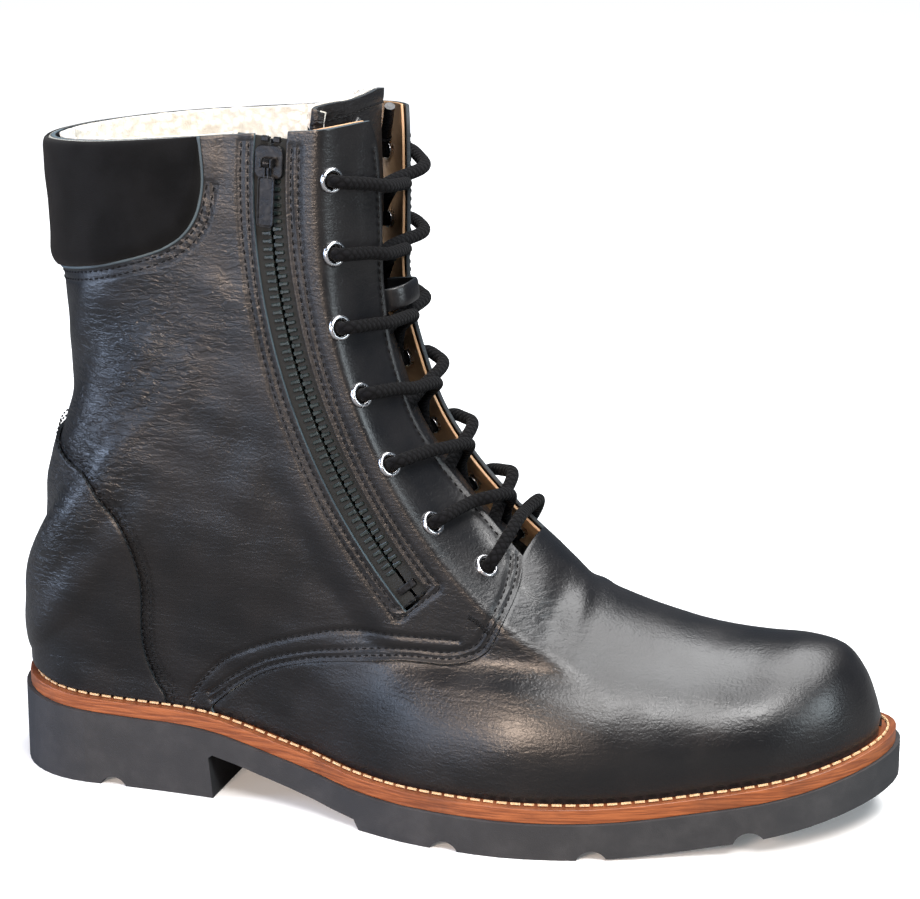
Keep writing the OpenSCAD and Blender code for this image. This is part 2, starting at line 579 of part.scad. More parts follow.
// Heights out of the flat: outer face of the teeth, then the slider's parts.
slider_low = (tooth_t - tape_t) / 2 - tape_depth + 0.35;
slider_under = -(tape_depth + tape_t + (tooth_t - tape_t) / 2 + 0.35);
pin_height = slider_low + slider_plate + 0.9 + pull_pin / 2;
lug_gap = 2.4;
lug_t = 1;
module zip_slider() {
    color([0.16, 0.16, 0.17]) place() on_zip(slider_angle) {
        translate([-slider_width / 2, -slider_length / 2, slider_low])
            cube([slider_width, slider_length, slider_plate]);
        translate([-slider_width / 2, -slider_length / 2, slider_under - slider_plate])
            cube([slider_width, slider_length, slider_plate]);
        translate([-0.3, -slider_length / 2, slider_under - eps]) cube([0.6, 3, slider_low - slider_under + 2 * eps]);
        for (s = [-1, 1]) translate([s > 0 ? lug_gap / 2 : -lug_gap / 2 - lug_t, -1.6, slider_low + slider_plate - eps])
            cube([lug_t, 3.2, 0.9 + pull_pin + 0.9]);
        translate([-lug_gap / 2 - lug_t / 2, 0, pin_height]) rotate([0, 90, 0])
            cylinder(d = pull_pin, h = lug_gap + lug_t, $fn = 32);
    }
}
module zip_pull() {
    eye = lug_gap - 0.4;
    eye_r = pull_pin / 2 + pin_clearance + 0.75;
    color([0.12, 0.12, 0.13]) place() on_zip(slider_angle) translate([0, 0, pin_height]) difference() {
        union() {
            translate([-eye / 2, 0, 0]) rotate([0, 90, 0]) cylinder(r = eye_r, h = eye, $fn = 32);
            translate([-eye / 2, 0, -pull_t / 2]) cube([eye, 5, pull_t]);
            translate([-pull_width / 2, 4, -pull_t / 2]) cube([pull_width, pull_length - 4 - pull_width / 2, pull_t]);
            translate([0, pull_length - pull_width / 2, -pull_t / 2]) cylinder(d = pull_width, h = pull_t, $fn = 32);
        }
        translate([-eye, 0, 0]) rotate([0, 90, 0])
            cylinder(r = pull_pin / 2 + pin_clearance, h = 2 * eye, $fn = 32);
    }
}
module zip_top_stops() {
    color([0.16, 0.16, 0.17]) place() for (s = [-1, 1]) on_zip(slider_angle - slider_length / 2 / zip_radius * 180 / PI - 0.35)
        translate([s > 0 ? tape_edge + 0.2 : -tape_edge - 2.6, -1.5, -tape_depth + 0.05]) cube([2.4, 1.8, 1.4]);
}
module zip_bottom_stop() {
    color([0.16, 0.16, 0.17]) place() on_zip(zip_foot - 1.5)
        translate([-3.6, -1.2, -tape_depth + 0.05]) cube([7.2, 2.4, 1.3]);
}

module eyelet(k, q) {
    bore = eyelet_bore / 2;
    barrel = bore + eyelet_wall;
    edge = eyelet_d / 2;
    stand_on(k, q) rotate_extrude($fn = 40) polygon([[bore, eyelet_low], [bore, eyelet_top + 0.9],
        [bore + 0.8, eyelet_top + eyelet_roll], [edge - 0.7, eyelet_top + 0.7], [edge, eyelet_top],
        [barrel, eyelet_top], [barrel, eyelet_low], [edge - 1.05, eyelet_low], [edge - 1.2, eyelet_low - 0.5],
        [bore, eyelet_low - 0.6]]);
}
module eyelets_lateral() {
    color([0.42, 0.42, 0.44]) place() for (e = eyelets) eyelet(e[0], -e[1]);
}
module eyelets_medial() {
    color([0.42, 0.42, 0.44]) place() for (e = eyelets) eyelet(e[0], e[1]);
}

// One crossing of the lace, from the hole it leaves outward to the hole that it reaches from
// inside, lower down on the other side: [share of the way down, share of the angle, height].
// The angle's share runs from 1 at the first hole to -1 at the second, and 0.5 and -0.5 are the
// edges of the two facings.
over_pattern = [[0, 1, -1], [0, 1, lace_over], [0.15, 0.75, lace_over + 0.7], [0.3, 0.5, lace_over + 0.6], [0.5, 0, 1.4],
    [0.66, -0.5, lace_under + 0.2], [1, -1, lace_under]];
under_pattern = [[0, 1, -1], [0, 1, lace_over], [0.15, 0.75, lace_over + 0.6], [0.3, 0.5, lace_over + 0.2], [0.5, 0, lace_under + 1.6],
    [0.66, -0.5, lace_under + 0.2], [1, -1, lace_under]];
// The bar between the two lowest eyelets: [station, share of the angle, height].
lace_bar = [[10.8, 1, -1], [10.8, 1, lace_over], [10.95, 0.5, lace_over + 0.4], [11, 0, 1.2],
    [10.95, -0.5, lace_over + 0.4], [10.8, -1, lace_over], [10.8, -1, -1]];
// The tucked end behind the top of a facing: [station, angle, height].
lace_end = [[20.3, 30, lace_under], [20, 38, lace_under]];
aglet_end = [20.95, 20.5, lace_under];

// Angle for a share of the way between a hole at 1, an edge at 0.5 and the middle at 0.
function share_angle(share, hole) = let (a = abs(share), edge = gape + 3)
    (share < 0 ? -1 : 1) * (a < 0.5 ? 2 * a * edge : mix(edge, hole, 2 * a - 1));
function crossing(i, side, pattern) = [for (p = pattern)
    let (hole = p[1] < 0 ? eyelets[i + 1][1] : eyelets[i][1])
    [mix(eyelets[i][0], eyelets[i + 1][0], p[0]), side * share_angle(p[1], hole), p[2]]];
// The half that starts on the outer side (-1) or on the inner side (1), from the top down.
function lace_half(start) = [for (i = [0:5]) let (side = (i % 2 == 0 ? 1 : -1) * start)
    each crossing(i, side, side < 0 ? over_pattern : under_pattern)];
function backward(list) = [for (i = [len(list) - 1:-1:0]) list[i]];
lace_route = concat([for (p = lace_end) [p[0], -p[1], p[2]]], lace_half(-1),
    [for (p = lace_bar) [p[0], -share_angle(p[1], eyelets[6][1]), p[2]]], backward(lace_half(1)), backward(lace_end));

// A tube with eight sides through the points of a route.
module tube(path, d, sides = 8) {
    n = len(path);
    dirs = [for (i = [0:n - 1]) unit(path[min(i + 1, n - 1)] - path[max(i - 1, 0)])];
    function carry(u, t) = unit(u - (u * t) * t);
    ups = [for (i = 0, u = carry([0.3, 0.2, 1], dirs[0]); i < n; i = i + 1, u = i < n ? carry(u, dirs[i]) : u) u];
    points = [for (i = [0:n - 1]) for (s = [0:sides - 1]) let (a = 360 * s / sides)
        path[i] + d / 2 * (cos(a) * ups[i] + sin(a) * cross(dirs[i], ups[i]))];
    faces = concat([for (i = [0:n - 2]) for (s = [0:sides - 1])
        let (a = i * sides + s, b = i * sides + (s + 1) % sides) each [[a, a + sides, b], [b, a + sides, b + sides]]],
        [[for (s = [0:sides - 1]) s]], [[for (s = [sides - 1:-1:0]) (n - 1) * sides + s]]);
    polyhedron(points, faces, convexity = 10);
}
module lace() {
    color([0.07, 0.07, 0.075]) place() tube([for (p = lace_route) off_surface(p[0], p[1], p[2])], lace_d);
}
module lace_aglets() {
    color([0.05, 0.05, 0.055]) place() for (side = [-1, 1]) {
        a = off_surface(lace_end[0][0], side * lace_end[0][1], lace_end[0][2]);
        v = off_surface(aglet_end[0], side * aglet_end[1], aglet_end[2]) - a;
        u = unit(v);
        translate(a + 0.5 * u) rotate([0, acos(u[2]), atan2(u[1], u[0])])
            cylinder(d = lace_d - 0.8, h = min(aglet_length, norm(v)), $fn = 24);
    }
}

outsole();
welt();
welt_stitching();
cork_filler();
shank();
insole_board();
footbed();
vamp();
lateral_quarter();
medial_quarter();
medial_facing();
heel_counter();
collar_cover();
collar_foam();
lateral_facing_lining();
medial_facing_lining();
tongue();
tongue_lining();
lace_keeper();
toe_puff();
heel_stiffener();
shaft_lining();
vamp_lining();
zip_guard();
zip_tape_front();
zip_tape_rear();
zip_teeth_front();
zip_teeth_rear();
zip_slider();
zip_pull();
zip_top_stops();
zip_bottom_stop();
eyelets_lateral();
eyelets_medial();
lace();
lace_aglets();
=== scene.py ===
# %% [markdown]
# A leather ankle boot with seven pairs of eyelets, a zip on its outer side and a welted rubber
# sole. The CAD model is loaded first and never moves: it says where every piece belongs. This
# script then builds the pieces that show, in leather, wool, thread, rubber and metal.
# %% Load the frame
import math
import bmesh
import bpy
import numpy as np
from mathutils import Matrix, Vector


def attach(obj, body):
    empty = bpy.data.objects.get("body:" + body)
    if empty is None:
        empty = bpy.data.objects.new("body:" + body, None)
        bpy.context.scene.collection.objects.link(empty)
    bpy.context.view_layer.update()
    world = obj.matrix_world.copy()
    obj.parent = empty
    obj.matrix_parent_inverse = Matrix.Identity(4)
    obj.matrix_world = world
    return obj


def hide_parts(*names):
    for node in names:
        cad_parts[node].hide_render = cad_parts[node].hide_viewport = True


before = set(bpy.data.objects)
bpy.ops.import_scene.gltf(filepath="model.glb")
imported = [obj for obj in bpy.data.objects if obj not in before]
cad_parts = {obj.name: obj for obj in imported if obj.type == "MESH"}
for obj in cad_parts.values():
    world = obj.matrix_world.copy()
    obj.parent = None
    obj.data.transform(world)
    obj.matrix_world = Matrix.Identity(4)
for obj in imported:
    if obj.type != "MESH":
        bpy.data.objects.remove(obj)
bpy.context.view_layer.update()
scene = bpy.context.scene
MM = 0.001

# %% [markdown]
# The boot stands with its toe to the right and its outer side to the viewer. The camera is a
# camera with a long lens, close enough that the sole looks longer in front than behind, about fifteen
# degrees round towards the toe and fifteen up.
# %% Camera
TARGET = Vector((0.00465, 0.0045, 0.1205))
AZIMUTH, ELEVATION, DISTANCE = math.radians(15.38), math.radians(14.55), 0.9
towards_camera = Vector((math.sin(AZIMUTH) * math.cos(ELEVATION),
                         -math.cos(AZIMUTH) * math.cos(ELEVATION), math.sin(ELEVATION)))
camera = bpy.data.objects.new("camera", bpy.data.cameras.new("camera"))
camera.data.lens = 103.5
camera.data.sensor_width = 36
camera.data.clip_start = 0.05
camera.location = TARGET + DISTANCE * towards_camera
camera.rotation_euler = towards_camera.to_track_quat("Z", "Y").to_euler()
scene.collection.objects.link(camera)
scene.camera = camera
scene.view_settings.view_transform = "Standard"
print("camera at", [round(v, 3) for v in camera.location])

# %% [markdown]
# All the leather lies on one surface, the shape of the foot and the ankle that the boot was
# made on. A place on it has two numbers: a station, counted from 0 at the toe to 21 at the top
# edge, and an angle round the boot, 0 at the front, -180 at the back by way of the outer side
# and 180 by way of the inner side. The tables are the ones that the CAD model is drawn with, in
# millimetres, and the curves through them are Hermite curves with averaged slopes.
# %% Tables of the surface
ORIGIN = np.array([1.5, 4.5, 0.0])
SOLE_REACH, WELT_HEIGHT, TAPE_WIDTH = 6.5, 5.0, 12.6
ZIP_CENTRE, ZIP_RADIUS, ZIP_FLAT = np.array([156.0, 212.0]), 205.0, 41.5
PLAN = np.array([
    [-160, 38.5, 1], [-138, 38, 1.5], [-118, 37.2, 1.5], [-77, 37, -0.8], [-40, 38, -5],
    [-20, 42.5, -8.5], [0, 48.5, -9.5], [20, 53, -8], [35, 55.5, -6], [50, 56, -3.5],
    [65, 55, -1], [80, 52, 1.2], [95, 48, 3], [110, 44.5, 4.2], [130, 39.5, 6.2], [160, 35, 12]])
SOLE_TOP = np.array([[-160, 28.5], [-115, 25.5], [-77, 24], [-50, 18], [-22, 13.2], [10, 12.2],
                     [60, 12], [160, 12]])
FRONT_LINE = np.array([
    [147.8, 4.5], [145.8, 12.7], [142, 22.6], [135, 32.5], [123, 38], [108, 40.6], [92, 44.3],
    [76, 49.8], [62, 55.6], [50, 62], [38, 73], [26, 83.5], [14, 94.5], [4, 106.5], [-4, 120],
    [-10, 135.5], [-15, 150], [-17, 164], [-17, 178], [-17, 191], [-17, 203], [-17, 217],
    [-17, 229]])
BOTTOM_LINE = np.array([147.9, 144.5, 139, 130, 116, 98, 78, 56, 34, 10, -16, -45, -76, -108, -136])
BACK_LINE = np.array([[-153.5, 20], [-154, 42], [-146.5, 68], [-138, 100], [-133.5, 132],
                      [-135.5, 168], [-138.5, 207], [-139.5, 221]])
FRONT_ROUND = np.array([0.9, 0.9, 0.85, 0.85, 0.85, 0.8, 0.8, 0.8, 0.8, 0.75, 0.68, 0.62, 0.52,
                        0.44, 0.38, 0.33, 0.29, 0.26, 0.25, 0.25, 0.25, 0.25, 0.25])
SHAFT_HALF = np.array([[0, 37], [45, 38], [62, 39.5], [82, 40.5], [112, 41], [142, 41.5],
                       [182, 42], [222, 42.5]])
SPRING_START, TOE_SPRING = 45.0, 14.5
HEEL_STATION, RIM = len(BOTTOM_LINE), 21.0


# %% Curves through the tables
def spline(xs, values, x):
    """The smooth curve through values at xs, read at x; values may be points."""
    n = len(xs) - 1
    x = np.clip(np.asarray(x, float), xs[0], xs[-1])
    i = np.clip(np.searchsorted(xs, x, side="right") - 1, 0, n - 1)
    values = np.asarray(values, float)
    flat = values.ndim == 1
    v = values[:, None] if flat else values
    gaps = np.diff(xs)
    slopes = np.diff(v, axis=0) / gaps[:, None]
    before, after = slopes[np.maximum(i - 1, 0)], slopes[np.minimum(i + 1, n - 1)]
    h = gaps[i][..., None]
    u = (x - xs[i])[..., None] / h
    start, end = h * (slopes[i] + before) / 2, h * (slopes[i] + after) / 2
    out = ((2 * u**3 - 3 * u**2 + 1) * v[i] + (u**3 - 2 * u**2 + u) * start
           + (3 * u**2 - 2 * u**3) * v[i + 1] + (u**3 - u**2) * end)
    return out[..., 0] if flat else out


def along(values, k):
    return spline(np.arange(len(values), dtype=float), values, k)


def mix(a, b, f):
    return a + (b - a) * f


def smooth(t):
    t = np.clip(t, 0, 1)
    return t * t * (3 - 2 * t)


def round_off(t):
    return np.sqrt(1 - (1 - np.clip(t, 0, 1)) ** 2)


def sole_z(x):
    lift = TOE_SPRING * (np.maximum(0, np.asarray(x) - SPRING_START) / 109.5) ** 2
    return spline(SOLE_TOP[:, 0], SOLE_TOP[:, 1], x) + lift


def welt_z(x):
    return sole_z(x) + WELT_HEIGHT


def plan_half(x):
    return spline(PLAN[:, 0], PLAN[:, 1], x)


def plan_mid(x):
    return spline(PLAN[:, 0], PLAN[:, 2], x)


# %% The surface itself
front_points = np.column_stack([FRONT_LINE[:, 0], welt_z(FRONT_LINE[:, 0]) + FRONT_LINE[:, 1]])
back_points = np.vstack([
    np.column_stack([BOTTOM_LINE, welt_z(BOTTOM_LINE) + 0.3]),
    np.column_stack([BACK_LINE[:, 0], welt_z(-150.0) - 15 + BACK_LINE[:, 1]])])


def last_shape(k, q):
    """Points of the bare surface in millimetres, for arrays of stations and angles."""
    k, q = np.broadcast_arrays(np.asarray(k, float), np.asarray(q, float))
    f, b = along(front_points, k), along(back_points, k)
    c = (1 - np.cos(np.radians(q))) / 2
    x, z = mix(f[..., 0], b[..., 0], c), mix(f[..., 1], b[..., 1], c)
    over = z - welt_z(x)
    side = np.where(np.sin(np.radians(q)) < 0, -1.0, 1.0)
    up = smooth(over / 70) * (1 - smooth((x + 5) / 75))
    toe = round_off((148.3 - x) / 36)
    low = (plan_half(x) - SOLE_REACH) * toe
    high = spline(SHAFT_HALF[:, 0], SHAFT_HALF[:, 1], over)
    puff = 1.6 * np.sin(np.pi * np.clip(over / 45, 0, 1)) * smooth((x + 60) / 80) * toe
    deepest = np.where(k >= HEEL_STATION, b[..., 0], back_points[HEEL_STATION][0])
    shut = round_off((x - deepest) / (34 + 10 * smooth((z - 60) / 100)))
    w = (mix(low, high, up) + puff) * shut * round_off(c / along(FRONT_ROUND, k))
    y = plan_mid(x) * (1 - up) + side * w
    ring = np.abs(np.hypot(x - ZIP_CENTRE[0], z - ZIP_CENTRE[1]) - ZIP_RADIUS)
    flat = np.where(side > 0, 0.0, (1 - smooth((ring - TAPE_WIDTH - 1.5) / 11)) * smooth((over - 34) / 16))
    return np.stack([x, mix(y, -ZIP_FLAT, flat), z], axis=-1)


def normal_of(k, q, form=last_shape):
    """Outward directions of the surface."""
    k, q = np.broadcast_arrays(np.asarray(k, float), np.asarray(q, float))
    limit = np.where(k < HEEL_STATION, 180.0, 999.0)
    ka, kb = np.maximum(k - 0.06, 0), np.minimum(k + 0.06, 22)
    qa, qb = np.maximum(q - 3, -limit), np.minimum(q + 3, limit)
    n = np.cross(form(k, qb) - form(k, qa), form(kb, q) - form(ka, q))
    return n / np.linalg.norm(n, axis=-1, keepdims=True)


test = last_shape(np.array([5.0, 14.0, 20.0]), np.array([-40.0, -120.0, 90.0])) + ORIGIN
print("three points of the surface, mm", test.round(2).tolist())

# %% [markdown]
# Real leather isn't as even as the form under it. Soft folds run round the back of the ankle,
# where the shaft bends, and a roll stands out below the collar. They are added to the form here,
# once, so that every layer of the boot follows them. Near the zip they fade out, because the
# tapes lie flat.
# %% Folds of the leather
FOLDS = [  # station, angle, half height in stations, half width in degrees, rise in millimetres
    (19.15, -150, 0.42, 48, 1.3), (18.55, -165, 0.3, 42, -1.0), (17.55, -168, 0.35, 36, 0.9),
    (17.05, -160, 0.25, 34, -1.3), (16.55, -150, 0.32, 34, 1.0), (15.95, -135, 0.3, 26, -0.7),
    (15.4, -128, 0.3, 22, 0.7), (18.1, -112, 0.2, 16, -0.35), (17.4, -108, 0.2, 15, 0.3),
    (19.15, 150, 0.42, 48, 1.3), (18.55, 160, 0.3, 45, -1.0), (17.3, 158, 0.3, 40, 0.9),
    (16.7, 150, 0.25, 42, -1.2), (16.1, 140, 0.3, 38, 0.9), (15.0, 100, 0.4, 30, -0.6),
    (14.2, 84, 0.4, 24, 0.6), (13.2, 84, 0.4, 22, -0.5), (9.3, -30, 0.25, 22, -0.5),
    (8.85, -22, 0.22, 24, 0.45), (9.3, 36, 0.25, 24, -0.5), (8.8, 30, 0.22, 26, 0.4)]


def folds(k, q):
    total = np.zeros(np.shape(k))
    for station, angle, high, wide, rise in FOLDS:
        turn = (q - angle + 180) % 360 - 180
        slope = 0.012 * turn
        total += rise * np.exp(-((k - station - slope) / high) ** 2 - (turn / wide) ** 2)
    return total


def undulation(p):
    """A gentle unevenness some 30 to 60 mm from crest to crest."""
    waves = [(0.11, 0.04, 0.13, 0.0), (-0.07, 0.15, 0.09, 1.7), (0.16, -0.05, -0.06, 3.1),
             (0.05, 0.09, 0.2, 4.4)]
    return sum(np.sin(p[..., 0] * a + p[..., 1] * b + p[..., 2] * c + d) for a, b, c, d in waves) / 4


def zip_distance(p):
    """Millimetres from the middle of the zip, and a large number on the inner side."""
    ring = np.abs(np.hypot(p[..., 0] - ZIP_CENTRE[0], p[..., 2] - ZIP_CENTRE[1]) - ZIP_RADIUS)
    return np.where(p[..., 1] < 0, ring, 99.0)


def shape(k, q):
    """Points of the leather's surface, with its folds, in millimetres."""
    k, q = np.broadcast_arrays(np.asarray(k, float), np.asarray(q, float))
    p = last_shape(k, q)
    calm = smooth((zip_distance(p) - 7) / 14) * smooth((p[..., 2] - welt_z(p[..., 0])) / 10)
    calm = calm * smooth((np.abs(q) - 40 + 90 * (k < 10)) / 25) * smooth((21.2 - k) / 0.6)
    uneven = (0.5 * undulation(p) + 0.28 * undulation(2.3 * p)) * (0.3 + 0.7 * smooth((k - 10) / 2))
    rise = (1.5 * folds(k, q) + uneven) * calm
    return p + rise[..., None] * normal_of(k, q)


def off(k, q, h):
    """Points at height h millimetres over the surface, in metres, in the frame."""
    n = normal_of(k, q, shape)
    return (shape(k, q) + np.asarray(h, float)[..., None] * n + ORIGIN) * MM


# %% [markdown]
# Most pieces start as one flat grid made by an operator. Its vertices are then laid on the
# surface, or wrapped round a path. Doing it this way keeps the faces even and gives each piece a
# UV map in real millimetres, which the woven and braided materials use.
# %% Grid, mesh and object helpers
def new_grid(cols, rows):
    """A grid and the place of each of its vertices: across and along, both from 0 to 1."""
    bm = bmesh.new()
    bmesh.ops.create_grid(bm, x_segments=cols, y_segments=rows, size=1)
    bm.verts.ensure_lookup_table()
    flat = np.array([v.co[:2] for v in bm.verts])
    low, high = flat.min(0), flat.max(0)
    uv = (flat - low) / (high - low)
    return bm, uv[:, 0], uv[:, 1]


def set_points(bm, points):
    for v, p in zip(bm.verts, points):
        v.co = p


def set_uv(bm, across, along_it):
    layer = bm.loops.layers.uv.new("UVMap")
    for face in bm.faces:
        for loop in face.loops:
            i = loop.vert.index
            loop[layer].uv = (across[i], along_it[i])


def finish_mesh(bm, name, materials, body="boot", smooth_faces=True):
    mesh = bpy.data.meshes.new(name)
    bm.to_mesh(mesh)
    bm.free()
    for material in materials:
        mesh.materials.append(material)
    if smooth_faces:
        mesh.polygons.foreach_set("use_smooth", [True] * len(mesh.polygons))
    piece = bpy.data.objects.new(name, mesh)
    scene.collection.objects.link(piece)
    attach(piece, body)
    return piece


# %% Lines on the surface
def on_line(line, t):
    """Stations and angles at shares t of a line given by its corner points."""
    line = np.asarray(line, float)
    return along(line, np.asarray(t) * (len(line) - 1))


def even(line, step, form=shape):
    """Stations and angles along a line, step millimetres apart."""
    fine = on_line(line, np.linspace(0, 1, 40 * len(line)))
    p = form(fine[:, 0], fine[:, 1])
    run = np.concatenate([[0], np.cumsum(np.linalg.norm(np.diff(p, axis=0), axis=1))])
    count = max(2, int(round(run[-1] / step)) + 1)
    at = np.linspace(0, run[-1], count)
    return np.column_stack([np.interp(at, run, fine[:, i]) for i in (0, 1)])


def beside(line, distance, step=1.5):
    """The line moved sideways over the surface, to the left of its run seen from outside."""
    line = even(line, step)
    k, q = line[:, 0], line[:, 1]
    p = shape(k, q)
    run = np.gradient(p, axis=0)
    run /= np.linalg.norm(run, axis=1, keepdims=True)
    left = np.cross(normal_of(k, q), run)
    dk, dq = (shape(k + 0.02, q) - p) / 0.02, (shape(k, q + 0.5) - p) / 0.5
    a, b, c = (dk * dk).sum(1), (dk * dq).sum(1), (dq * dq).sum(1)
    e, f = (dk * left).sum(1), (dq * left).sum(1)
    det = a * c - b * b
    shift_k, shift_q = distance * (c * e - b * f) / det, distance * (a * f - b * e) / det
    return np.column_stack([k + np.clip(shift_k, -1, 1), q + np.clip(shift_q, -20, 20)])


def zip_line(radius, k0, k1, n=16):
    """The line where stations k0 to k1 cross a circle about the zip's centre."""
    k = np.linspace(k0, k1, n)
    f, b = along(front_points, k), along(back_points, k)
    d, e = b - f, f - ZIP_CENTRE
    qa, qb, qc = (d * d).sum(1), 2 * (d * e).sum(1), (e * e).sum(1) - radius**2
    c = (-qb + np.sqrt(np.maximum(qb**2 - 4 * qa * qc, 0))) / (2 * qa)
    return np.column_stack([k, -np.degrees(np.arccos(1 - 2 * np.clip(c, 0, 1)))])


def mirrored(line):
    return [(k, -q) for k, q in line]

# %% [markdown]
# A studio for footwear is a white sweep with large soft lights: one above and in front that draws
# the long highlight on the toe, a cool one behind the heel, and a warm low one at the toe.
# %% Floor, world and lights
floor_bm = bmesh.new()
bmesh.ops.create_grid(floor_bm, x_segments=1, y_segments=1, size=6)
floor_mesh = bpy.data.meshes.new("floor")
floor_bm.to_mesh(floor_mesh)
floor_bm.free()
floor = bpy.data.objects.new("floor", floor_mesh)
scene.collection.objects.link(floor)

paper = bpy.data.materials.new("pale_floor")
paper.use_nodes = True
floor_mesh.materials.append(paper)
nodes, links = paper.node_tree.nodes, paper.node_tree.links
paper_shader = nodes["Principled BSDF"]
paper_shader.inputs["Roughness"].default_value = 0.8
direct = nodes.new("ShaderNodeLightPath").outputs["Is Camera Ray"]
albedo = nodes.new("ShaderNodeMapRange")
albedo.inputs["To Min"].default_value, albedo.inputs["To Max"].default_value = 0.14, 0.93
links.new(direct, albedo.inputs["Value"])
links.new(albedo.outputs[0], paper_shader.inputs["Base Color"])
far = nodes.new("ShaderNodeVectorMath")
far.operation = "LENGTH"
links.new(nodes.new("ShaderNodeTexCoord").outputs["Object"], far.inputs[0])
glow = nodes.new("ShaderNodeMapRange")
for key, value in (("From Min", 0.1), ("From Max", 1.1), ("To Min", 0.12), ("To Max", 0.85)):
    glow.inputs[key].default_value = value
links.new(far.outputs["Value"], glow.inputs["Value"])
shown = nodes.new("ShaderNodeMath")
shown.operation = "MULTIPLY"
links.new(glow.outputs[0], shown.inputs[0])
links.new(direct, shown.inputs[1])
paper_shader.inputs["Emission Color"].default_value = (1, 1, 1, 1)
links.new(shown.outputs[0], paper_shader.inputs["Emission Strength"])

world = bpy.data.worlds.new("studio")
world.use_nodes = True
sky = world.node_tree
seen, dim = sky.nodes["Background"], sky.nodes.new("ShaderNodeBackground")
seen.inputs["Color"].default_value, seen.inputs["Strength"].default_value = (1, 1, 1, 1), 1.0
dim.inputs["Color"].default_value, dim.inputs["Strength"].default_value = (0.66, 0.8, 1, 1), 0.14
either = sky.nodes.new("ShaderNodeMixShader")
sky.links.new(sky.nodes.new("ShaderNodeLightPath").outputs["Is Camera Ray"], either.inputs[0])
sky.links.new(dim.outputs[0], either.inputs[1])
sky.links.new(seen.outputs[0], either.inputs[2])
sky.links.new(either.outputs[0], sky.nodes["World Output"].inputs["Surface"])
scene.world = world


def softbox(name, place, size, power, color, aim=(0, 0, 0.1)):
    data = bpy.data.lights.new(name, "AREA")
    data.shape = "RECTANGLE"
    data.size, data.size_y = size
    data.energy = power
    data.color = color
    light = bpy.data.objects.new(name, data)
    light.location = place
    light.rotation_euler = (Vector(place) - Vector(aim)).to_track_quat("Z", "Y").to_euler()
    scene.collection.objects.link(light)


softbox("top", (0.35, 0.25, 1.3), (1.3, 0.9), 28, (1, 1, 1))
softbox("key", (0.5, -0.75, 1.1), (0.7, 0.4), 17, (1, 0.99, 0.98))
softbox("cool", (-1.0, -0.3, 0.4), (0.4, 0.7), 8, (0.6, 0.74, 1))
softbox("low_cool", (-0.52, -0.86, 0.16), (0.45, 0.26), 2.2, (0.62, 0.76, 1))
softbox("warm", (-0.1, -0.86, 0.36), (0.24, 0.18), 6.5, (1, 0.78, 0.62), aim=(0.03, -0.04, 0.05))
softbox("side", (1.3, -0.3, 0.45), (0.5, 0.6), 7, (0.85, 0.95, 1))

# %% [markdown]
# Every finish is made of shader nodes. These three helpers keep the node code short. A number
# given to an input sets it, and a socket given to it is linked.
# %% Node helpers
def add(tree, kind, **inputs):
    """A node of a kind; names with a capital are inputs, and the others are its own settings."""
    node = tree.nodes.new("ShaderNode" + kind)
    for key, value in inputs.items():
        if key[0].islower():
            setattr(node, key, value)
    for key, value in inputs.items():
        if key[0].isupper():
            name = key.replace("_", " ")
            socket = node.inputs[int(name[1:])] if name[1:].isdigit() else node.inputs[name]
            feed(tree, socket, value)
    return node


def feed(tree, socket, value):
    if isinstance(value, bpy.types.NodeSocket):
        tree.links.new(value, socket)
    elif socket.type == "RGBA" and len(value) == 3:
        socket.default_value = (*value, 1)
    else:
        socket.default_value = value


def maths(tree, operation, *values):
    return add(tree, "Math", operation=operation, **{f"I{i}": v for i, v in enumerate(values)}).outputs[0]


def blend_colors(tree, factor, a, b, blend_type="MIX"):
    node = add(tree, "Mix", data_type="RGBA", blend_type=blend_type)
    for i, value in ((0, factor), (6, a), (7, b)):
        feed(tree, node.inputs[i], value)
    return node.outputs[2]


def ramp(tree, value, low, high, out_low=0.0, out_high=1.0, kind="SMOOTHSTEP"):
    return add(tree, "MapRange", interpolation_type=kind, Value=value, From_Min=low, From_Max=high,
               To_Min=out_low, To_Max=out_high).outputs[0]


def own_noise(tree, scale, detail):
    """Noise in the piece's own space."""
    space = add(tree, "TexCoord").outputs["Object"]
    return add(tree, "TexNoise", Vector=space, Scale=scale, Detail=detail).outputs[0]


def weighed(tree, first, share, second, other_share):
    """Two values added, each times its own share."""
    return maths(tree, "ADD", maths(tree, "MULTIPLY", first, share),
                 maths(tree, "MULTIPLY", second, other_share))


def paint(tree, shader, factor, low, high):
    """Colour that goes from low to high with the factor."""
    feed(tree, shader.inputs["Base Color"], blend_colors(tree, factor, low, high))


def group(name, ins, outs):
    """A shader node group with named inputs (name, default) and outputs, and its two end nodes."""
    tree = bpy.data.node_groups.new(name, "ShaderNodeTree")
    for label, default in ins:
        socket = tree.interface.new_socket(label, in_out="INPUT", socket_type="NodeSocketFloat")
        socket.default_value = default
    for label, kind in outs:
        tree.interface.new_socket(label, in_out="OUTPUT", socket_type="NodeSocket" + kind)
    return tree, tree.nodes.new("NodeGroupInput"), tree.nodes.new("NodeGroupOutput")


def use(tree, name, **values):
    node = tree.nodes.new("ShaderNodeGroup")
    node.node_tree = bpy.data.node_groups[name]
    for key, value in values.items():
        feed(tree, node.inputs[key.replace("_", " ")], value)
    return node.outputs


def new_material(name, **settings):
    """A material with its Principled shader; settings are plain values of its sockets."""
    material = bpy.data.materials.new(name)
    material.use_nodes = True
    tree = material.node_tree
    shader = tree.nodes["Principled BSDF"]
    for key, value in settings.items():
        feed(tree, shader.inputs[key.replace("_", " ")], value)
    return material, tree, shader


def set_height(tree, shader, height, strength=1.0):
    """Bump from a height in millimetres."""
    bump = add(tree, "Bump", Strength=strength, Distance=MM, Height=height)
    tree.links.new(bump.outputs[0], shader.inputs["Normal"])


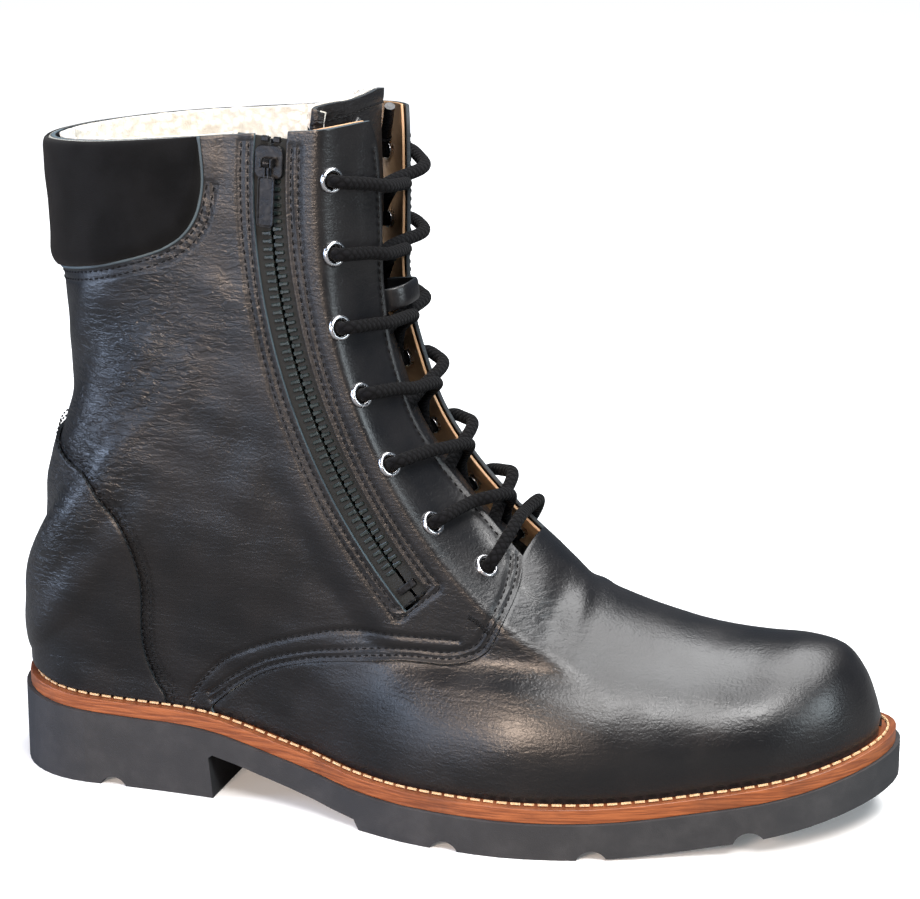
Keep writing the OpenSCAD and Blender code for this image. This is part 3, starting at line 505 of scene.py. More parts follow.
def speckled(name, color, other, roughness, scale, depth=0.1, metallic=0.0):
    """A mottled finish: two colours and a shallow relief from one noise."""
    material, tree, shader = new_material(name, Metallic=metallic)
    grain = own_noise(tree, scale, 4.0)
    paint(tree, shader, ramp(tree, grain, 0.4, 0.6), color, other)
    feed(tree, shader.inputs["Roughness"], ramp(tree, grain, 0.3, 0.7, roughness - 0.06, roughness + 0.06))
    set_height(tree, shader, maths(tree, "MULTIPLY", grain, depth))
    return material


# %% [markdown]
# Calf leather has a fine grain of rounded cells under a millimetre across, finer pores between
# them, and creases where it bends. The grain is worked out in the piece's own space, so it keeps
# its size on every panel. Two numbers stored on each vertex do the rest: how far away the nearest
# stitch line is, where the leather is drawn down, and how strongly the leather creases there.
# %% Shared leather effects
tree, ins, outs = group("leather_grain", [("Cell", 0.9), ("Crease", 0.0)],
                        [("Height", "Float"), ("Tone", "Float")])
place = add(tree, "TexCoord").outputs["Object"]
to_mm = add(tree, "VectorMath", operation="SCALE", I0=place, Scale=1000.0).outputs[0]
wander = add(tree, "TexNoise", Vector=to_mm, Scale=0.35, Detail=2.0)
moved = add(tree, "VectorMath", operation="MULTIPLY_ADD", I0=wander.outputs["Color"], I1=(1.6, 1.6, 1.6),
            I2=to_mm)
size = maths(tree, "DIVIDE", 1.0, ins.outputs["Cell"])
cells = add(tree, "TexVoronoi", feature="SMOOTH_F1", Vector=moved.outputs[0], Scale=size, Smoothness=0.6)
pores = add(tree, "TexNoise", Vector=to_mm, Scale=2.4, Detail=3.0, Roughness=0.65)
broad = add(tree, "TexNoise", Vector=to_mm, Scale=0.05, Detail=3.0)
stretched = add(tree, "VectorMath", operation="MULTIPLY", I0=moved.outputs[0],
                I1=(0.16, 0.16, 0.62)).outputs[0]
lines = add(tree, "TexNoise", Vector=stretched, Scale=1.0, Detail=3.0, Distortion=0.6, Roughness=0.6)
line_height = ramp(tree, lines.outputs[0], 0.35, 0.62)
grain = maths(tree, "MULTIPLY", cells.outputs["Distance"], -0.055)
fine = maths(tree, "MULTIPLY", pores.outputs[0], 0.035)
crease = maths(tree, "MULTIPLY", maths(tree, "MULTIPLY", line_height, ins.outputs["Crease"]), 0.5)
tree.links.new(maths(tree, "ADD", maths(tree, "ADD", grain, fine), crease), outs.inputs["Height"])
tree.links.new(broad.outputs[0], outs.inputs["Tone"])

tree, ins, outs = group("seam_draw", [("Depth", 0.5), ("Reach", 1.2)],
                        [("Height", "Float"), ("Mask", "Float")])
seam = add(tree, "Attribute", attribute_name="seam").outputs["Fac"]
near = maths(tree, "DIVIDE", seam, ins.outputs["Reach"])
dip = maths(tree, "POWER", 2.718, maths(tree, "MULTIPLY", maths(tree, "MULTIPLY", near, near), -1.0))
tree.links.new(maths(tree, "MULTIPLY", maths(tree, "MULTIPLY", dip, ins.outputs["Depth"]), -1.0),
               outs.inputs["Height"])
tree.links.new(dip, outs.inputs["Mask"])


# %% Leathers
def leather(name, color, tint, roughness, cell=0.9, strength=1.0, coat=0.0, creasing=1.0):
    """Finished leather: its colour, the tint it turns to in places, and its gloss."""
    material, tree, shader = new_material(name, Specular_IOR_Level=0.5, Coat_Weight=coat,
                                          Coat_Roughness=0.28)
    flex = add(tree, "Attribute", attribute_name="flex").outputs["Fac"]
    grain = use(tree, "leather_grain", Cell=cell, Crease=maths(tree, "MULTIPLY", flex, creasing))
    drawn = use(tree, "seam_draw")
    tone = ramp(tree, grain["Tone"], 0.35, 0.68)
    paint(tree, shader, tone, color, tint)
    gloss = maths(tree, "ADD", ramp(tree, grain["Tone"], 0.3, 0.7, roughness - 0.05, roughness + 0.05),
                  maths(tree, "MULTIPLY", drawn["Mask"], 0.08))
    feed(tree, shader.inputs["Roughness"], gloss)
    set_height(tree, shader, maths(tree, "ADD", grain["Height"], drawn["Height"]), strength)
    return material


BLACK_CALF = leather("black_calf", (0.004, 0.004, 0.0048), (0.007, 0.0062, 0.0066), 0.34, coat=0.15)
CUT_EDGE = leather("cut_edge", (0.02, 0.028, 0.034), (0.012, 0.016, 0.02), 0.6, cell=0.5)
PALE_EDGE = leather("raw_edge", (0.085, 0.12, 0.14), (0.045, 0.065, 0.08), 0.6, cell=0.5)
TAN_CALF = leather("tan_lining_leather", (0.5, 0.29, 0.15), (0.62, 0.39, 0.22), 0.55, cell=0.7)
print("leathers:", [m.name for m in (BLACK_CALF, CUT_EDGE, PALE_EDGE, TAN_CALF)])

# %% [markdown]
# The round lace is one cord through all fourteen eyelets. It leaves each outer eyelet forwards,
# crosses the tongue and goes under the facing of the other side, up through the next eyelet.
# Both ends are tucked behind the tops of the facings. The route is the CAD model's, place for
# place; here it becomes one smooth curve, round and with its braid.
# %% Route of the lace
LACE_D, GAPE, LEATHER_STEP = 4.4, 17.0, 0.6
QUARTER_IN = LEATHER_STEP - 1.5
FACING_OUT = QUARTER_IN - 0.4
FACING_IN = FACING_OUT - 0.9
EYELET_TOP, EYELET_LOW, EYELET_ROLL = LEATHER_STEP + 0.7, FACING_IN - 1.1, 1.05
LACE_OVER = EYELET_TOP + EYELET_ROLL + LACE_D / 2 + 0.35
LACE_UNDER = EYELET_LOW - 0.6 - LACE_D / 2 - 0.1
TONGUE_OUT = LACE_UNDER - LACE_D / 2 - 0.5
EYELETS = [(20, 38), (18.35, 37), (16.65, 32.4), (15.1, 30), (13.6, 32), (12.1, 37.5), (10.8, 41)]
OVER = [(0, 1, -1), (0, 1, LACE_OVER), (0.15, 0.75, LACE_OVER + 0.7), (0.3, 0.5, LACE_OVER + 0.6),
        (0.5, 0, 1.4), (0.66, -0.5, LACE_UNDER + 0.2), (1, -1, LACE_UNDER)]
UNDER = [(0, 1, -1), (0, 1, LACE_OVER), (0.15, 0.75, LACE_OVER + 0.6), (0.3, 0.5, LACE_OVER + 0.2),
         (0.5, 0, LACE_UNDER + 1.6), (0.66, -0.5, LACE_UNDER + 0.2), (1, -1, LACE_UNDER)]
BAR = [(10.8, 1, -1), (10.8, 1, LACE_OVER), (10.95, 0.5, LACE_OVER + 0.4), (11, 0, 1.2),
       (10.95, -0.5, LACE_OVER + 0.4), (10.8, -1, LACE_OVER), (10.8, -1, -1)]
TUCKED = [(20.3, 30, LACE_UNDER), (20, 38, LACE_UNDER)]


def share_angle(share, hole):
    """The angle for a share that is 1 at a hole, 0.5 at the edge of its facing and 0 in front."""
    a, edge = abs(share), GAPE + 3
    return math.copysign(2 * a * edge if a < 0.5 else mix(edge, hole, 2 * a - 1), share)


def lace_half(start):
    points = []
    for i in range(6):
        side = start if i % 2 == 0 else -start
        for part, share, height in OVER if side < 0 else UNDER:
            hole = EYELETS[i + 1][1] if share < 0 else EYELETS[i][1]
            points.append((mix(EYELETS[i][0], EYELETS[i + 1][0], part),
                           side * share_angle(share, hole), height))
    return points


route = ([(k, -q, h) for k, q, h in TUCKED] + lace_half(-1)
         + [(k, -share_angle(s, EYELETS[6][1]), h) for k, s, h in BAR]
         + lace_half(1)[::-1] + TUCKED[::-1])


def lift_off(points):
    """Heights over the bare surface, as the CAD model counts them, in metres."""
    k, q, h = np.array(points, float).T
    return (last_shape(k, q) + h[:, None] * normal_of(k, q) + ORIGIN) * MM


def smooth_path(points, step):
    """A smooth curve through points, as points about step apart."""
    run = np.concatenate([[0], np.cumsum(np.linalg.norm(np.diff(points, axis=0), axis=1) ** 0.5)])
    fine = spline(run, points, np.linspace(0, run[-1], 24 * len(points)))
    length = np.concatenate([[0], np.cumsum(np.linalg.norm(np.diff(fine, axis=0), axis=1))])
    at = np.linspace(0, length[-1], int(length[-1] / step) + 1)
    return np.column_stack([np.interp(at, length, fine[:, i]) for i in range(3)]), length[-1]


lace_path, lace_length = smooth_path(lift_off(route), 1.1 * MM)
print(f"lace: {len(route)} route points, {lace_length:.3f} m long")


# %% A tube along a path
def tube(name, path, radius, around, materials, body="boot", shrink_ends=False):
    """A tube whose UV map holds millimetres along it and its share round."""
    n = len(path)
    bm, u, v = new_grid(around, n - 1)
    dirs = np.gradient(path, axis=0)
    dirs /= np.linalg.norm(dirs, axis=1, keepdims=True)
    ups = np.zeros_like(path)
    up = np.array([0.3, 0.2, 1.0])
    for i in range(n):
        up = up - (up @ dirs[i]) * dirs[i]
        up /= np.linalg.norm(up)
        ups[i] = up
    sides = np.cross(dirs, ups)
    row = np.rint(v * (n - 1)).astype(int)
    turn = 2 * np.pi * u
    radii = np.broadcast_to(radius, (n,))[row]
    out = np.cos(turn)[:, None] * ups[row] + np.sin(turn)[:, None] * sides[row]
    points = path[row] + radii[:, None] * out
    step = np.linalg.norm(np.diff(path, axis=0), axis=1).mean() / MM
    set_points(bm, points)
    set_uv(bm, row * step, u)
    bmesh.ops.remove_doubles(bm, verts=bm.verts, dist=1e-6)
    ends = [e for e in bm.edges if e.is_boundary]
    bmesh.ops.holes_fill(bm, edges=ends, sides=0)
    bmesh.ops.recalc_face_normals(bm, faces=bm.faces)
    return finish_mesh(bm, name, materials, body)


# %% Braided cord
def braid_material(name, color, strands=8.0, pitch=2.4, strength=1.0):
    """A round braid: two families of strands that wind both ways and pass over each other."""
    material, tree, shader = new_material(name, Roughness=0.85, Sheen_Weight=0.02, Sheen_Roughness=0.5,
                                          Specular_IOR_Level=0.1)
    uv = add(tree, "SeparateXYZ", Vector=add(tree, "UVMap", uv_map="UVMap").outputs[0]).outputs
    run, turn = maths(tree, "DIVIDE", uv[0], pitch), maths(tree, "MULTIPLY", uv[1], strands / 2)
    heights = []
    for sign in (1.0, -1.0):
        wave = maths(tree, "ADD", run, maths(tree, "MULTIPLY", turn, sign))
        heights.append(maths(tree, "ABSOLUTE", maths(tree, "SINE", maths(tree, "MULTIPLY", wave, math.pi))))
    weave = maths(tree, "MULTIPLY", heights[0], heights[1])
    fuzz = own_noise(tree, 4200.0, 2.0)
    height = weighed(tree, weave, 0.34, fuzz, 0.1)
    # Painted shade: the colour darkens to a third of itself in the low places between the strands and keeps
    # its full value on their crests.
    shade = ramp(tree, weave, 0.05, 0.6)
    dark = tuple(0.35 * c for c in color)
    paint(tree, shader, shade, dark, color)
    set_height(tree, shader, height, strength)
    return material


LACE_BLACK = braid_material("lace_black", (0.0045, 0.0045, 0.0055))
aglet_material, aglet_tree, aglet_shader = new_material("aglet_plastic", Base_Color=(0.006, 0.006, 0.007),
                                                       Roughness=0.25)
scratches = own_noise(aglet_tree, 900.0, 3.0)
feed(aglet_tree, aglet_shader.inputs["Roughness"],
     ramp(aglet_tree, scratches, 0.3, 0.7, 0.2, 0.4))

lace = tube("round_lace", lace_path, LACE_D / 2 * MM, 14, [LACE_BLACK])
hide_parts("lace")
print("lace faces", len(lace.data.polygons))

# %% [markdown]
# The upper is cut from flat leather and sewn, so its panels are thin sheets with cut edges that
# lie over each other. Each is a grid between two or more lines, laid on the surface at its own
# height. A Solidify modifier gives it its thickness and its paler cut edge, and a Bevel modifier
# takes the sharpness off. Stitch lines are worked out first, so that the leather can draw down
# along them.
# %% Lines of the pattern
SEAM = [(12, 179.4), (12.1, 158), (12.06, 134), (11.9, 120), (11.5, 107), (10.82, 93), (10.1, 84),
        (9.78, 74), (9.8, 62), (9.95, 47), (10.2, 33), (10.4, 26)]
FRONT_EDGE = [(21, 22), (20.4, GAPE + 1.5), (19.5, GAPE), (18, GAPE - 1), (16.5, GAPE - 1.5),
              (15, GAPE + 1.5), (13.5, GAPE + 3), (12, GAPE + 4), (11, GAPE + 7), (10.4, 26)]
FACING_SEAM = [(21, 62), (19.5, 60), (18, 58), (16.5, 54), (15, 52), (13.5, 53), (12.2, 58), (11.2, 62),
               (10.4, 64), (9.81, 62)]
COUNTER_EDGE = [(18.2, 179), (18.0, 158), (17.3, 128), (16.7, 117), (15.8, 107), (14.9, 106.5),
                (14.1, 117), (13.3, 136), (12.75, 155), (12.6, 167.5)]
COUNTER_BACK = [(18.2, 179.9), (17.5, 179.9), (16.8, 179.9), (16.1, 179.9), (15.5, 179.6), (15, 176),
                (14.7, 169), (14.1, 168), (13.3, 168), (12.6, 168)]
COLLAR_LOW = [(21, -85), (20.4, -85), (19.95, -89), (19.74, -98), (19.74, -118), (19.82, -150),
              (19.85, -180),
              (19.82, -210), (19.74, -242), (19.74, -262), (19.95, -271), (20.4, -275), (21, -275)]
UPPER_ROW = [(12.29, -169), (12.54, -131), (12.46, -117), (11.99, -100), (11.49, -89), (10.27, -73)]
ZIP_TOP, ZIP_FOOT, ZIP_SLOT, SLOT_END = 174.8, 220.3, 11.2, 11.25


def zip_place(radius, angle):
    """Stations and angles of points given by their place round the zip's centre."""
    radius, angle = np.broadcast_arrays(np.asarray(radius, float), np.radians(np.asarray(angle, float)))
    target = ZIP_CENTRE + radius[..., None] * np.stack([np.cos(angle), np.sin(angle)], axis=-1)
    k, c = np.full(radius.shape, 15.0), np.full(radius.shape, 0.3)

    def at(k, c):
        return mix(along(front_points, k), along(back_points, k), c[..., None])
    for _ in range(30):
        miss, dk, dc = target - at(k, c), at(k + 0.01, c) - at(k, c), at(k, c + 0.001) - at(k, c)
        det = (dk[..., 0] * dc[..., 1] - dk[..., 1] * dc[..., 0]) / 1e-5
        k = np.clip(k + 0.7 * (miss[..., 0] * dc[..., 1] - miss[..., 1] * dc[..., 0]) / 1e-3 / det, 8, 22)
        c = np.clip(c + 0.7 * (dk[..., 0] * miss[..., 1] - dk[..., 1] * miss[..., 0]) / 1e-2 / det, 0.01,
                    0.95)
    return np.column_stack([k, -np.degrees(np.arccos(1 - 2 * c))])


def zip_frame(reach, top=ZIP_TOP + 0.6, foot=0.0):
    """A line down the front of the zip, across its foot and up the rear, reach from its middle."""
    angles = np.linspace(top, ZIP_FOOT - 0.7 + foot, 30)
    across = np.linspace(-reach, reach, 5)
    front, rear = zip_place(ZIP_RADIUS - reach, angles), zip_place(ZIP_RADIUS + reach, angles)
    low = zip_place(ZIP_RADIUS + across, np.full(5, ZIP_FOOT - 0.7 + foot))
    return np.vstack([front, low[1:-1], rear[::-1]])


STITCH_ROWS = []  # name, line, height over the bare surface, length of a stitch


def row(name, line, height, distance=0.0, length=2.0, pitch=2.7):
    line = beside(line, distance) if distance else np.asarray(line, float)
    STITCH_ROWS.append((name, even(line, pitch), height, length))


QUARTER, COUNTER = LEATHER_STEP, 2.2
for side in (-1, 1):
    word = "outer" if side < 0 else "inner"
    counter = [(k, side * q) for k, q in COUNTER_EDGE]
    seam = [(k, side * q) for k, q in SEAM]
    front = [(k, side * q) for k, q in FRONT_EDGE]
    for inset in (1.7, 4.1):
        row(f"counter_{word}", counter, COUNTER, -side * inset)
        row(f"vamp_seam_{word}", seam[1: 12 if side < 0 else 9], QUARTER, -side * inset)
    row(f"facing_{word}", front[1:-1], QUARTER, side * 2.0)
row("upper", UPPER_ROW, QUARTER)
for inset in (1.7, 4.2):
    row("zip", zip_frame(ZIP_SLOT / 2 + inset, foot=inset / 3.6), QUARTER)
    row("collar", COLLAR_LOW[1:-1], QUARTER, inset)
    row("facing_seam_inner", FACING_SEAM[:-1], QUARTER, inset)
print(len(STITCH_ROWS), "rows of stitches")

# %% Distance to the stitches, and where leather creases
from mathutils.kdtree import KDTree
row_points = [off(line[:, 0], line[:, 1], np.full(len(line), height)) for _, line, height, _ in STITCH_ROWS]
stitch_tree = KDTree(sum(len(p) * 6 for p in row_points))
for p in row_points:
    dense = np.column_stack([np.interp(np.linspace(0, 1, 6 * len(p)), np.linspace(0, 1, len(p)), p[:, i])
                             for i in range(3)])
    for point in dense:
        stitch_tree.insert(point, 0)
stitch_tree.balance()


def bump_at(k, q, station, angle, high, wide):
    turn = (q - angle + 180) % 360 - 180
    return np.exp(-((k - station) / high) ** 2 - (turn / wide) ** 2)


def flex_at(k, q):
    """How strongly the leather is creased: round the ankle and across the throat of the vamp."""
    ankle = bump_at(k, q, 18.3, -112, 1.0, 26) + bump_at(k, q, 17, -150, 1.2, 30) + bump_at(k, q, 17, 150,
                                                                                            1.6, 60)
    throat = 0.16 * bump_at(k, q, 9.2, -45, 0.8, 40) + 0.16 * bump_at(k, q, 9.2, 45, 0.8, 40)
    return np.clip(0.07 + 0.62 * ankle + throat, 0, 1)


# %% One panel of leather
def panel(name, curves, cells, rows, height, thickness, materials, last=None, skip=None, holes=(),
          flex=flex_at, round_edge=0.35, body="boot"):
    """A sheet between lines on the surface; height is a number, or a function of k, q, u and v."""
    cols = sum(cells)
    bm, u, v = new_grid(cols, rows)
    starts = np.concatenate([[0], np.cumsum(cells)])
    j = u * cols
    span = np.clip(np.searchsorted(starts, j - 1e-6, side="right") - 1, 0, len(cells) - 1)
    span = np.maximum(span, 0)
    share = ((j - starts[span]) / np.array(cells)[span])[:, None]
    edges = np.array([on_line(curve, v) for curve in curves])
    at = np.arange(len(v))
    place = mix(edges[span, at], edges[span + 1, at], share)
    if last is not None:
        bottom = np.array([on_line(curve, np.ones(1))[0] for curve in curves])
        plain = mix(bottom[span], bottom[span + 1], share)
        place = place + (v**2)[:, None] * (on_line(last, u) - plain)
    k, q = place[:, 0], place[:, 1]
    lift = height(k, q, u, v) if callable(height) else np.full(len(k), float(height))
    points = off(k, q, lift)
    set_points(bm, points)
    near, far = last_shape(*on_line(curves[0], [0, 1]).T)
    set_uv(bm, u * cols, v * np.linalg.norm(near - far))
    bm.normal_update()
    bm.faces.ensure_lookup_table()
    sample = bm.faces[len(bm.faces) // 2]
    if np.dot(sample.normal, normal_of(k, q)[sample.verts[0].index]) < 0:
        bmesh.ops.reverse_faces(bm, faces=bm.faces)
    gone = set()
    if skip:
        gone |= {f for f in bm.faces if skip(*[np.mean([a[w.index] for w in f.verts]) for a in (u, v)])}
    for hole in holes:
        centre = Vector(off(np.array([hole[0]]), np.array([hole[1]]), np.zeros(1))[0])
        gone |= {f for f in bm.faces if (f.calc_center_median() - centre).length < 3.1 * MM}
    values = {"seam": [min(stitch_tree.find(p)[2] / MM, 9.0) for p in points], "flex": flex(k, q)}
    layers = {key: bm.verts.layers.float.new(key) for key in values}
    for w in bm.verts:
        for key, layer in layers.items():
            w[layer] = values[key][w.index]
    if gone:
        bmesh.ops.delete(bm, geom=list(gone), context="FACES")
    piece = finish_mesh(bm, name, materials, body)
    wall = piece.modifiers.new("thickness", "SOLIDIFY")
    wall.thickness, wall.offset, wall.use_quality_normals = thickness * MM, -1, True
    wall.material_offset_rim = 1 if len(materials) > 1 else 0
    if round_edge:
        soft = piece.modifiers.new("soft_edges", "BEVEL")
        soft.width, soft.segments, soft.limit_method, soft.angle_limit = round_edge * MM, 2, "ANGLE", 1.0
    return piece


CALF = [BLACK_CALF, CUT_EDGE]
print("stitch points in the tree:", sum(len(p) for p in row_points) * 6)

# %% [markdown]
# The vamp is one piece round the toe, from the welt on one side to the welt on the other. The
# outer quarter carries the zip: a slot is left open in its grid, and its edges are the raw edges
# beside the teeth. The inner side has a facing and a quarter instead.
# %% Vamp and quarters
whole_seam = ([(k - 0.014, -q) for k, q in SEAM] + [(10.46, -14), (10.48, 0), (10.46, 14)]
              + [(k - 0.014, q) for k, q in SEAM[::-1]])
toe_edge = [(0, -180 + 30 * i) for i in range(13)]
vamp = panel("vamp_leather", [toe_edge, whole_seam], [120], 260, 0.0, 1.5, CALF)
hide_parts("vamp")

back_edge = [(mix(RIM, 12, i / 10), 179.8) for i in range(11)]
outer_seam = mirrored(SEAM)


def slot_side(radius, foot):
    upper = zip_line(radius, RIM, SLOT_END, 27)
    below = [mix(upper[-1], np.array(foot), i / 6) for i in range(1, 7)]
    return np.vstack([upper, below])


rear = slot_side(ZIP_RADIUS + ZIP_SLOT / 2, on_line(outer_seam, np.array([84 / 140]))[0])
fore = slot_side(ZIP_RADIUS - ZIP_SLOT / 2, on_line(outer_seam, np.array([96 / 140]))[0])
outer_quarter = panel(
    "outer_quarter", [mirrored(back_edge), rear, fore, mirrored(FRONT_EDGE)], [84, 12, 44], 192, QUARTER,
    1.4,
    [BLACK_CALF, PALE_EDGE], last=outer_seam, holes=[(k, -q) for k, q in EYELETS],
    skip=lambda u, v: 84 / 140 < u < 96 / 140 and v < 26 / 32)
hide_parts("lateral_quarter")
inner_quarter = panel("inner_quarter", [[(k, q + 0.35) for k, q in FACING_SEAM], back_edge], [100], 150,
                      QUARTER, 1.4,
                      CALF, last=SEAM[8::-1])
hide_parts("medial_quarter")
inner_facing = panel("inner_facing", [FRONT_EDGE, [(k, q - 0.35) for k, q in FACING_SEAM]], [44], 150,
                     QUARTER, 1.4,
                     CALF, last=SEAM[11:7:-1], holes=EYELETS)
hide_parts("medial_facing")
print("upper panels:", [p.name for p in (vamp, outer_quarter, inner_quarter, inner_facing)])

# %% Heel counter, and the stiffener under it
STIFFENER_OUT = -1.4
moulded_sheet = speckled("thermoplastic_sheet", (0.5, 0.46, 0.38), (0.6, 0.56, 0.48), 0.7, 900.0)


def no_flex(k, q):
    return 0 * k


for side, word in ((-1, "outer"), (1, "inner")):
    counter = panel(f"heel_counter_{word}",
                    [[(k, side * q) for k, q in COUNTER_BACK],
                     [(k, side * (q - 0.8)) for k, q in COUNTER_EDGE]],
                    [60], 90, COUNTER, 1.1, CALF)
    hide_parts("heel_counter")
    inside = panel(f"heel_stiffener_{word}",
                   [[(k - 0.1, side * 179) for k, q in COUNTER_BACK],
                    [(k - 0.1, side * (q - 6)) for k, q in COUNTER_EDGE]],
                   [30], 50, STIFFENER_OUT, 1.1, [moulded_sheet], flex=no_flex, round_edge=0)
    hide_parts("heel_stiffener")

# %% [markdown]
# The collar is the one padded part: nubuck over foam, sewn down along its lower edge and turned
# over the top. It is lowest at its edges and swells in the middle, more towards the bottom, and
# the seam pulls small dimples into it.
# %% Padded collar
nubuck, tree_n, shader = new_material("black_nubuck", Roughness=0.95, Specular_IOR_Level=0.08,
                                      Sheen_Weight=0.04, Sheen_Roughness=0.6)
space = add(tree_n, "TexCoord").outputs["Object"]
nap = add(tree_n, "TexNoise", Vector=space, Scale=2600.0, Detail=3.0, Roughness=0.7).outputs[0]
brushed = add(tree_n, "TexNoise", Vector=space, Scale=60.0, Detail=4.0).outputs[0]
paint(tree_n, shader, ramp(tree_n, brushed, 0.35, 0.7), (0.002, 0.002, 0.0022), (0.0055, 0.0055, 0.006))
set_height(tree_n, shader, weighed(tree_n, nap, 0.16, brushed, 0.3))

collar_high = [(RIM, mix(-85, -275, i / 12)) for i in range(13)]


def collar_height(k, q, u, v):
    """Low at the seams and crowned between them; u runs from the lower edge to the rim."""
    rise = (1 - (2 * v - 1) ** 8) * round_off(u / 0.16) * (0.5 + 0.5 * round_off((1 - u) / 0.12))
    dimples = 0.12 * np.sin(v * 150) * np.exp(-u / 0.12) + 0.35 * np.sin(v * 11 + 1) * u * (1 - u)
    return 0.7 + 4.0 * rise * (1 - 0.25 * u) + dimples


collar = panel("collar_pad", [COLLAR_LOW, collar_high], [48], 230, collar_height, 1.1, [nubuck],
               flex=lambda k, q: 0 * k)
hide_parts("collar_cover")
foam = speckled("foam", (0.26, 0.26, 0.24), (0.4, 0.4, 0.37), 0.95, 1600.0, 0.3)


def foam_height(k, q, u, v):
    return np.maximum(0.72, collar_height(k, q, u, v) - 1.25)


collar_sheet = panel("collar_foam_sheet", [COLLAR_LOW, collar_high], [24], 110, foam_height, 0.1, [foam],
                     flex=lambda k, q: 0 * k, round_edge=0)
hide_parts("collar_foam")
edge_line = even(COLLAR_LOW, 1.0)
tube("collar_raw_edge", off(edge_line[:, 0], edge_line[:, 1], np.full(len(edge_line), 1.0)),
     0.55 * MM, 8, [PALE_EDGE])
print("collar faces", len(collar.data.polygons))

# %% [markdown]
# The tongue is a calf panel with a wool lining behind it. Its top is hemmed, so it is thicker
# there, and it stands up above the facings.
# %% Tongue, its lining and the lace keeper
TONGUE_SIDE = [(21.3, 50), (20, 50), (18, 48), (16, 44), (14, 42), (12.5, 42), (11.4, 36), (10.75, 28)]
TONGUE_T = 1.4


def tongue_lines(shrink):
    side = [(k, q - shrink) for k, q in TONGUE_SIDE]
    return [mirrored(side), [(k + (0.3 if k > 21 else 0), 0) for k, _ in side], side]


def tongue_height(k, q, u, v):
    ripple = 0.3 * np.sin(v * 26 + 2) * (1 - (2 * u - 1) ** 2)
    return TONGUE_OUT + 0.5 * smooth((0.05 - v) / 0.03) + ripple


tongue = panel("tongue_leather", tongue_lines(0), [28, 28], 150, tongue_height, TONGUE_T, CALF,
               flex=lambda k, q: 0.35 + 0 * k)
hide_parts("tongue")


def keeper_height(k, q, u, v):
    return TONGUE_OUT + 1.35 + (LACE_D * 2 + 2.8) * (1 - (2 * v - 1) ** 4) * (1 - (2 * u - 1) ** 4 * 0.06)


keeper = panel("lace_keeper_loop", [[(16.2, mix(-15, 15, i / 4)) for i in range(5)],
                                    [(16.75, mix(-15, 15, i / 4)) for i in range(5)]],
               [8], 60, keeper_height, 1.2, CALF, flex=lambda k, q: 0 * k)
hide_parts("lace_keeper")

# %% Tan linings behind the facings
TAN = [TAN_CALF, TAN_CALF]
front_lining = [(k, q + 1) for k, q in FRONT_EDGE]
rear_outer = np.vstack([zip_line(ZIP_RADIUS - TAPE_WIDTH - 0.8, RIM, 11.6, 10), [(10.9, -47), (10.3, -47)]])
rear_inner = [(21, 47), (19.5, 46), (18, 45), (16.5, 42), (15, 40), (13.5, 41), (12.2, 45), (11, 49),
              (10.5, 50),
              (10.2, 50)]
for word, first, second in (("lateral", mirrored(front_lining), rear_outer),
                            ("medial", front_lining, rear_inner)):
    lining = panel(f"{word}_facing_tan", [first, second], [16], 120, FACING_OUT, 0.9, TAN,
                   holes=EYELETS if word == "medial" else mirrored(EYELETS), round_edge=0.2)
    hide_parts(f"{word}_facing_lining")

# %% [markdown]
# A sewn stitch is a short length of waxed thread that dives into its hole at both ends. There are
# well over a thousand, so each is a small sphere with few faces, stretched along the row.
# %% Stitches
thread, tree_t, shader = new_material("black_thread", Roughness=0.7, Specular_IOR_Level=0.25)
twist = add(tree_t, "TexWave", Vector=add(tree_t, "TexCoord").outputs["Object"], Scale=900.0,
            Distortion=2.0).outputs[1]
# Painted shade: the thread's colour is darker in the grooves of its twist and lighter on its ridges.
paint(tree_t, shader, twist, (0.002, 0.002, 0.0025), (0.006, 0.006, 0.007))
set_height(tree_t, shader, maths(tree_t, "MULTIPLY", twist, 0.12))


def take_in(whole, part):
    """Join the bmesh part to the bmesh whole."""
    batch = bpy.data.meshes.new("batch")
    part.to_mesh(batch)
    part.free()
    whole.from_mesh(batch)
    bpy.data.meshes.remove(batch)


def stitch_mesh(name, rows, width, materials):
    """One mesh of all the stitches: batches of spheres, each joined to the mesh when it is full."""
    whole = bmesh.new()
    count = 0
    for _, line, height, length in rows:
        middle = (line[1:] + line[:-1]) / 2
        centre = off(middle[:, 0], middle[:, 1], np.full(len(middle), height))
        ends = off(line[:, 0], line[:, 1], np.full(len(line), height))
        out = normal_of(middle[:, 0], middle[:, 1], shape)
        part = bmesh.new()
        for c, a, b, n in zip(centre, ends[:-1], ends[1:], out):
            along_it = Vector(b - a).normalized()
            across = Vector(n).cross(along_it).normalized()
            frame_of = Matrix((along_it, across, Vector(n))).transposed().to_4x4()
            sizes = Matrix.Diagonal((length / 2 * MM, width / 2 * MM, 0.55 * width * MM, 1))
            place = Matrix.Translation(c) @ frame_of @ sizes
            bmesh.ops.create_uvsphere(part, u_segments=6, v_segments=4, radius=1, matrix=place)
            count += 1
        take_in(whole, part)
    print(name, count, "stitches")
    return finish_mesh(whole, name, materials)


for word in sorted({name for name, *_ in STITCH_ROWS}):
    stitch_mesh(f"stitches_{word}", [r for r in STITCH_ROWS if r[0] == word], 0.66, [thread])
bartack = [(10.42, -60), (10.15, -60.5), (9.93, -62)]
BARS = [("bartack", even([(k, q - 1.2 * i) for k, q in bartack], 1.3), QUARTER, 1.5) for i in (0, 1)]
stitch_mesh("stitches_bartack", BARS, 0.8, [thread])
HEM_IN = 0.25
hem_line = [(k - HEM_IN, q) for k, q in ((21.15, -44), (21.32, -22), (21.42, 0), (21.32, 22), (21.15, 44))]
stitch_mesh("stitches_tongue", [("hem", even(hem_line, 2.7), TONGUE_OUT + 0.3, 2.0)], 0.66, [thread])

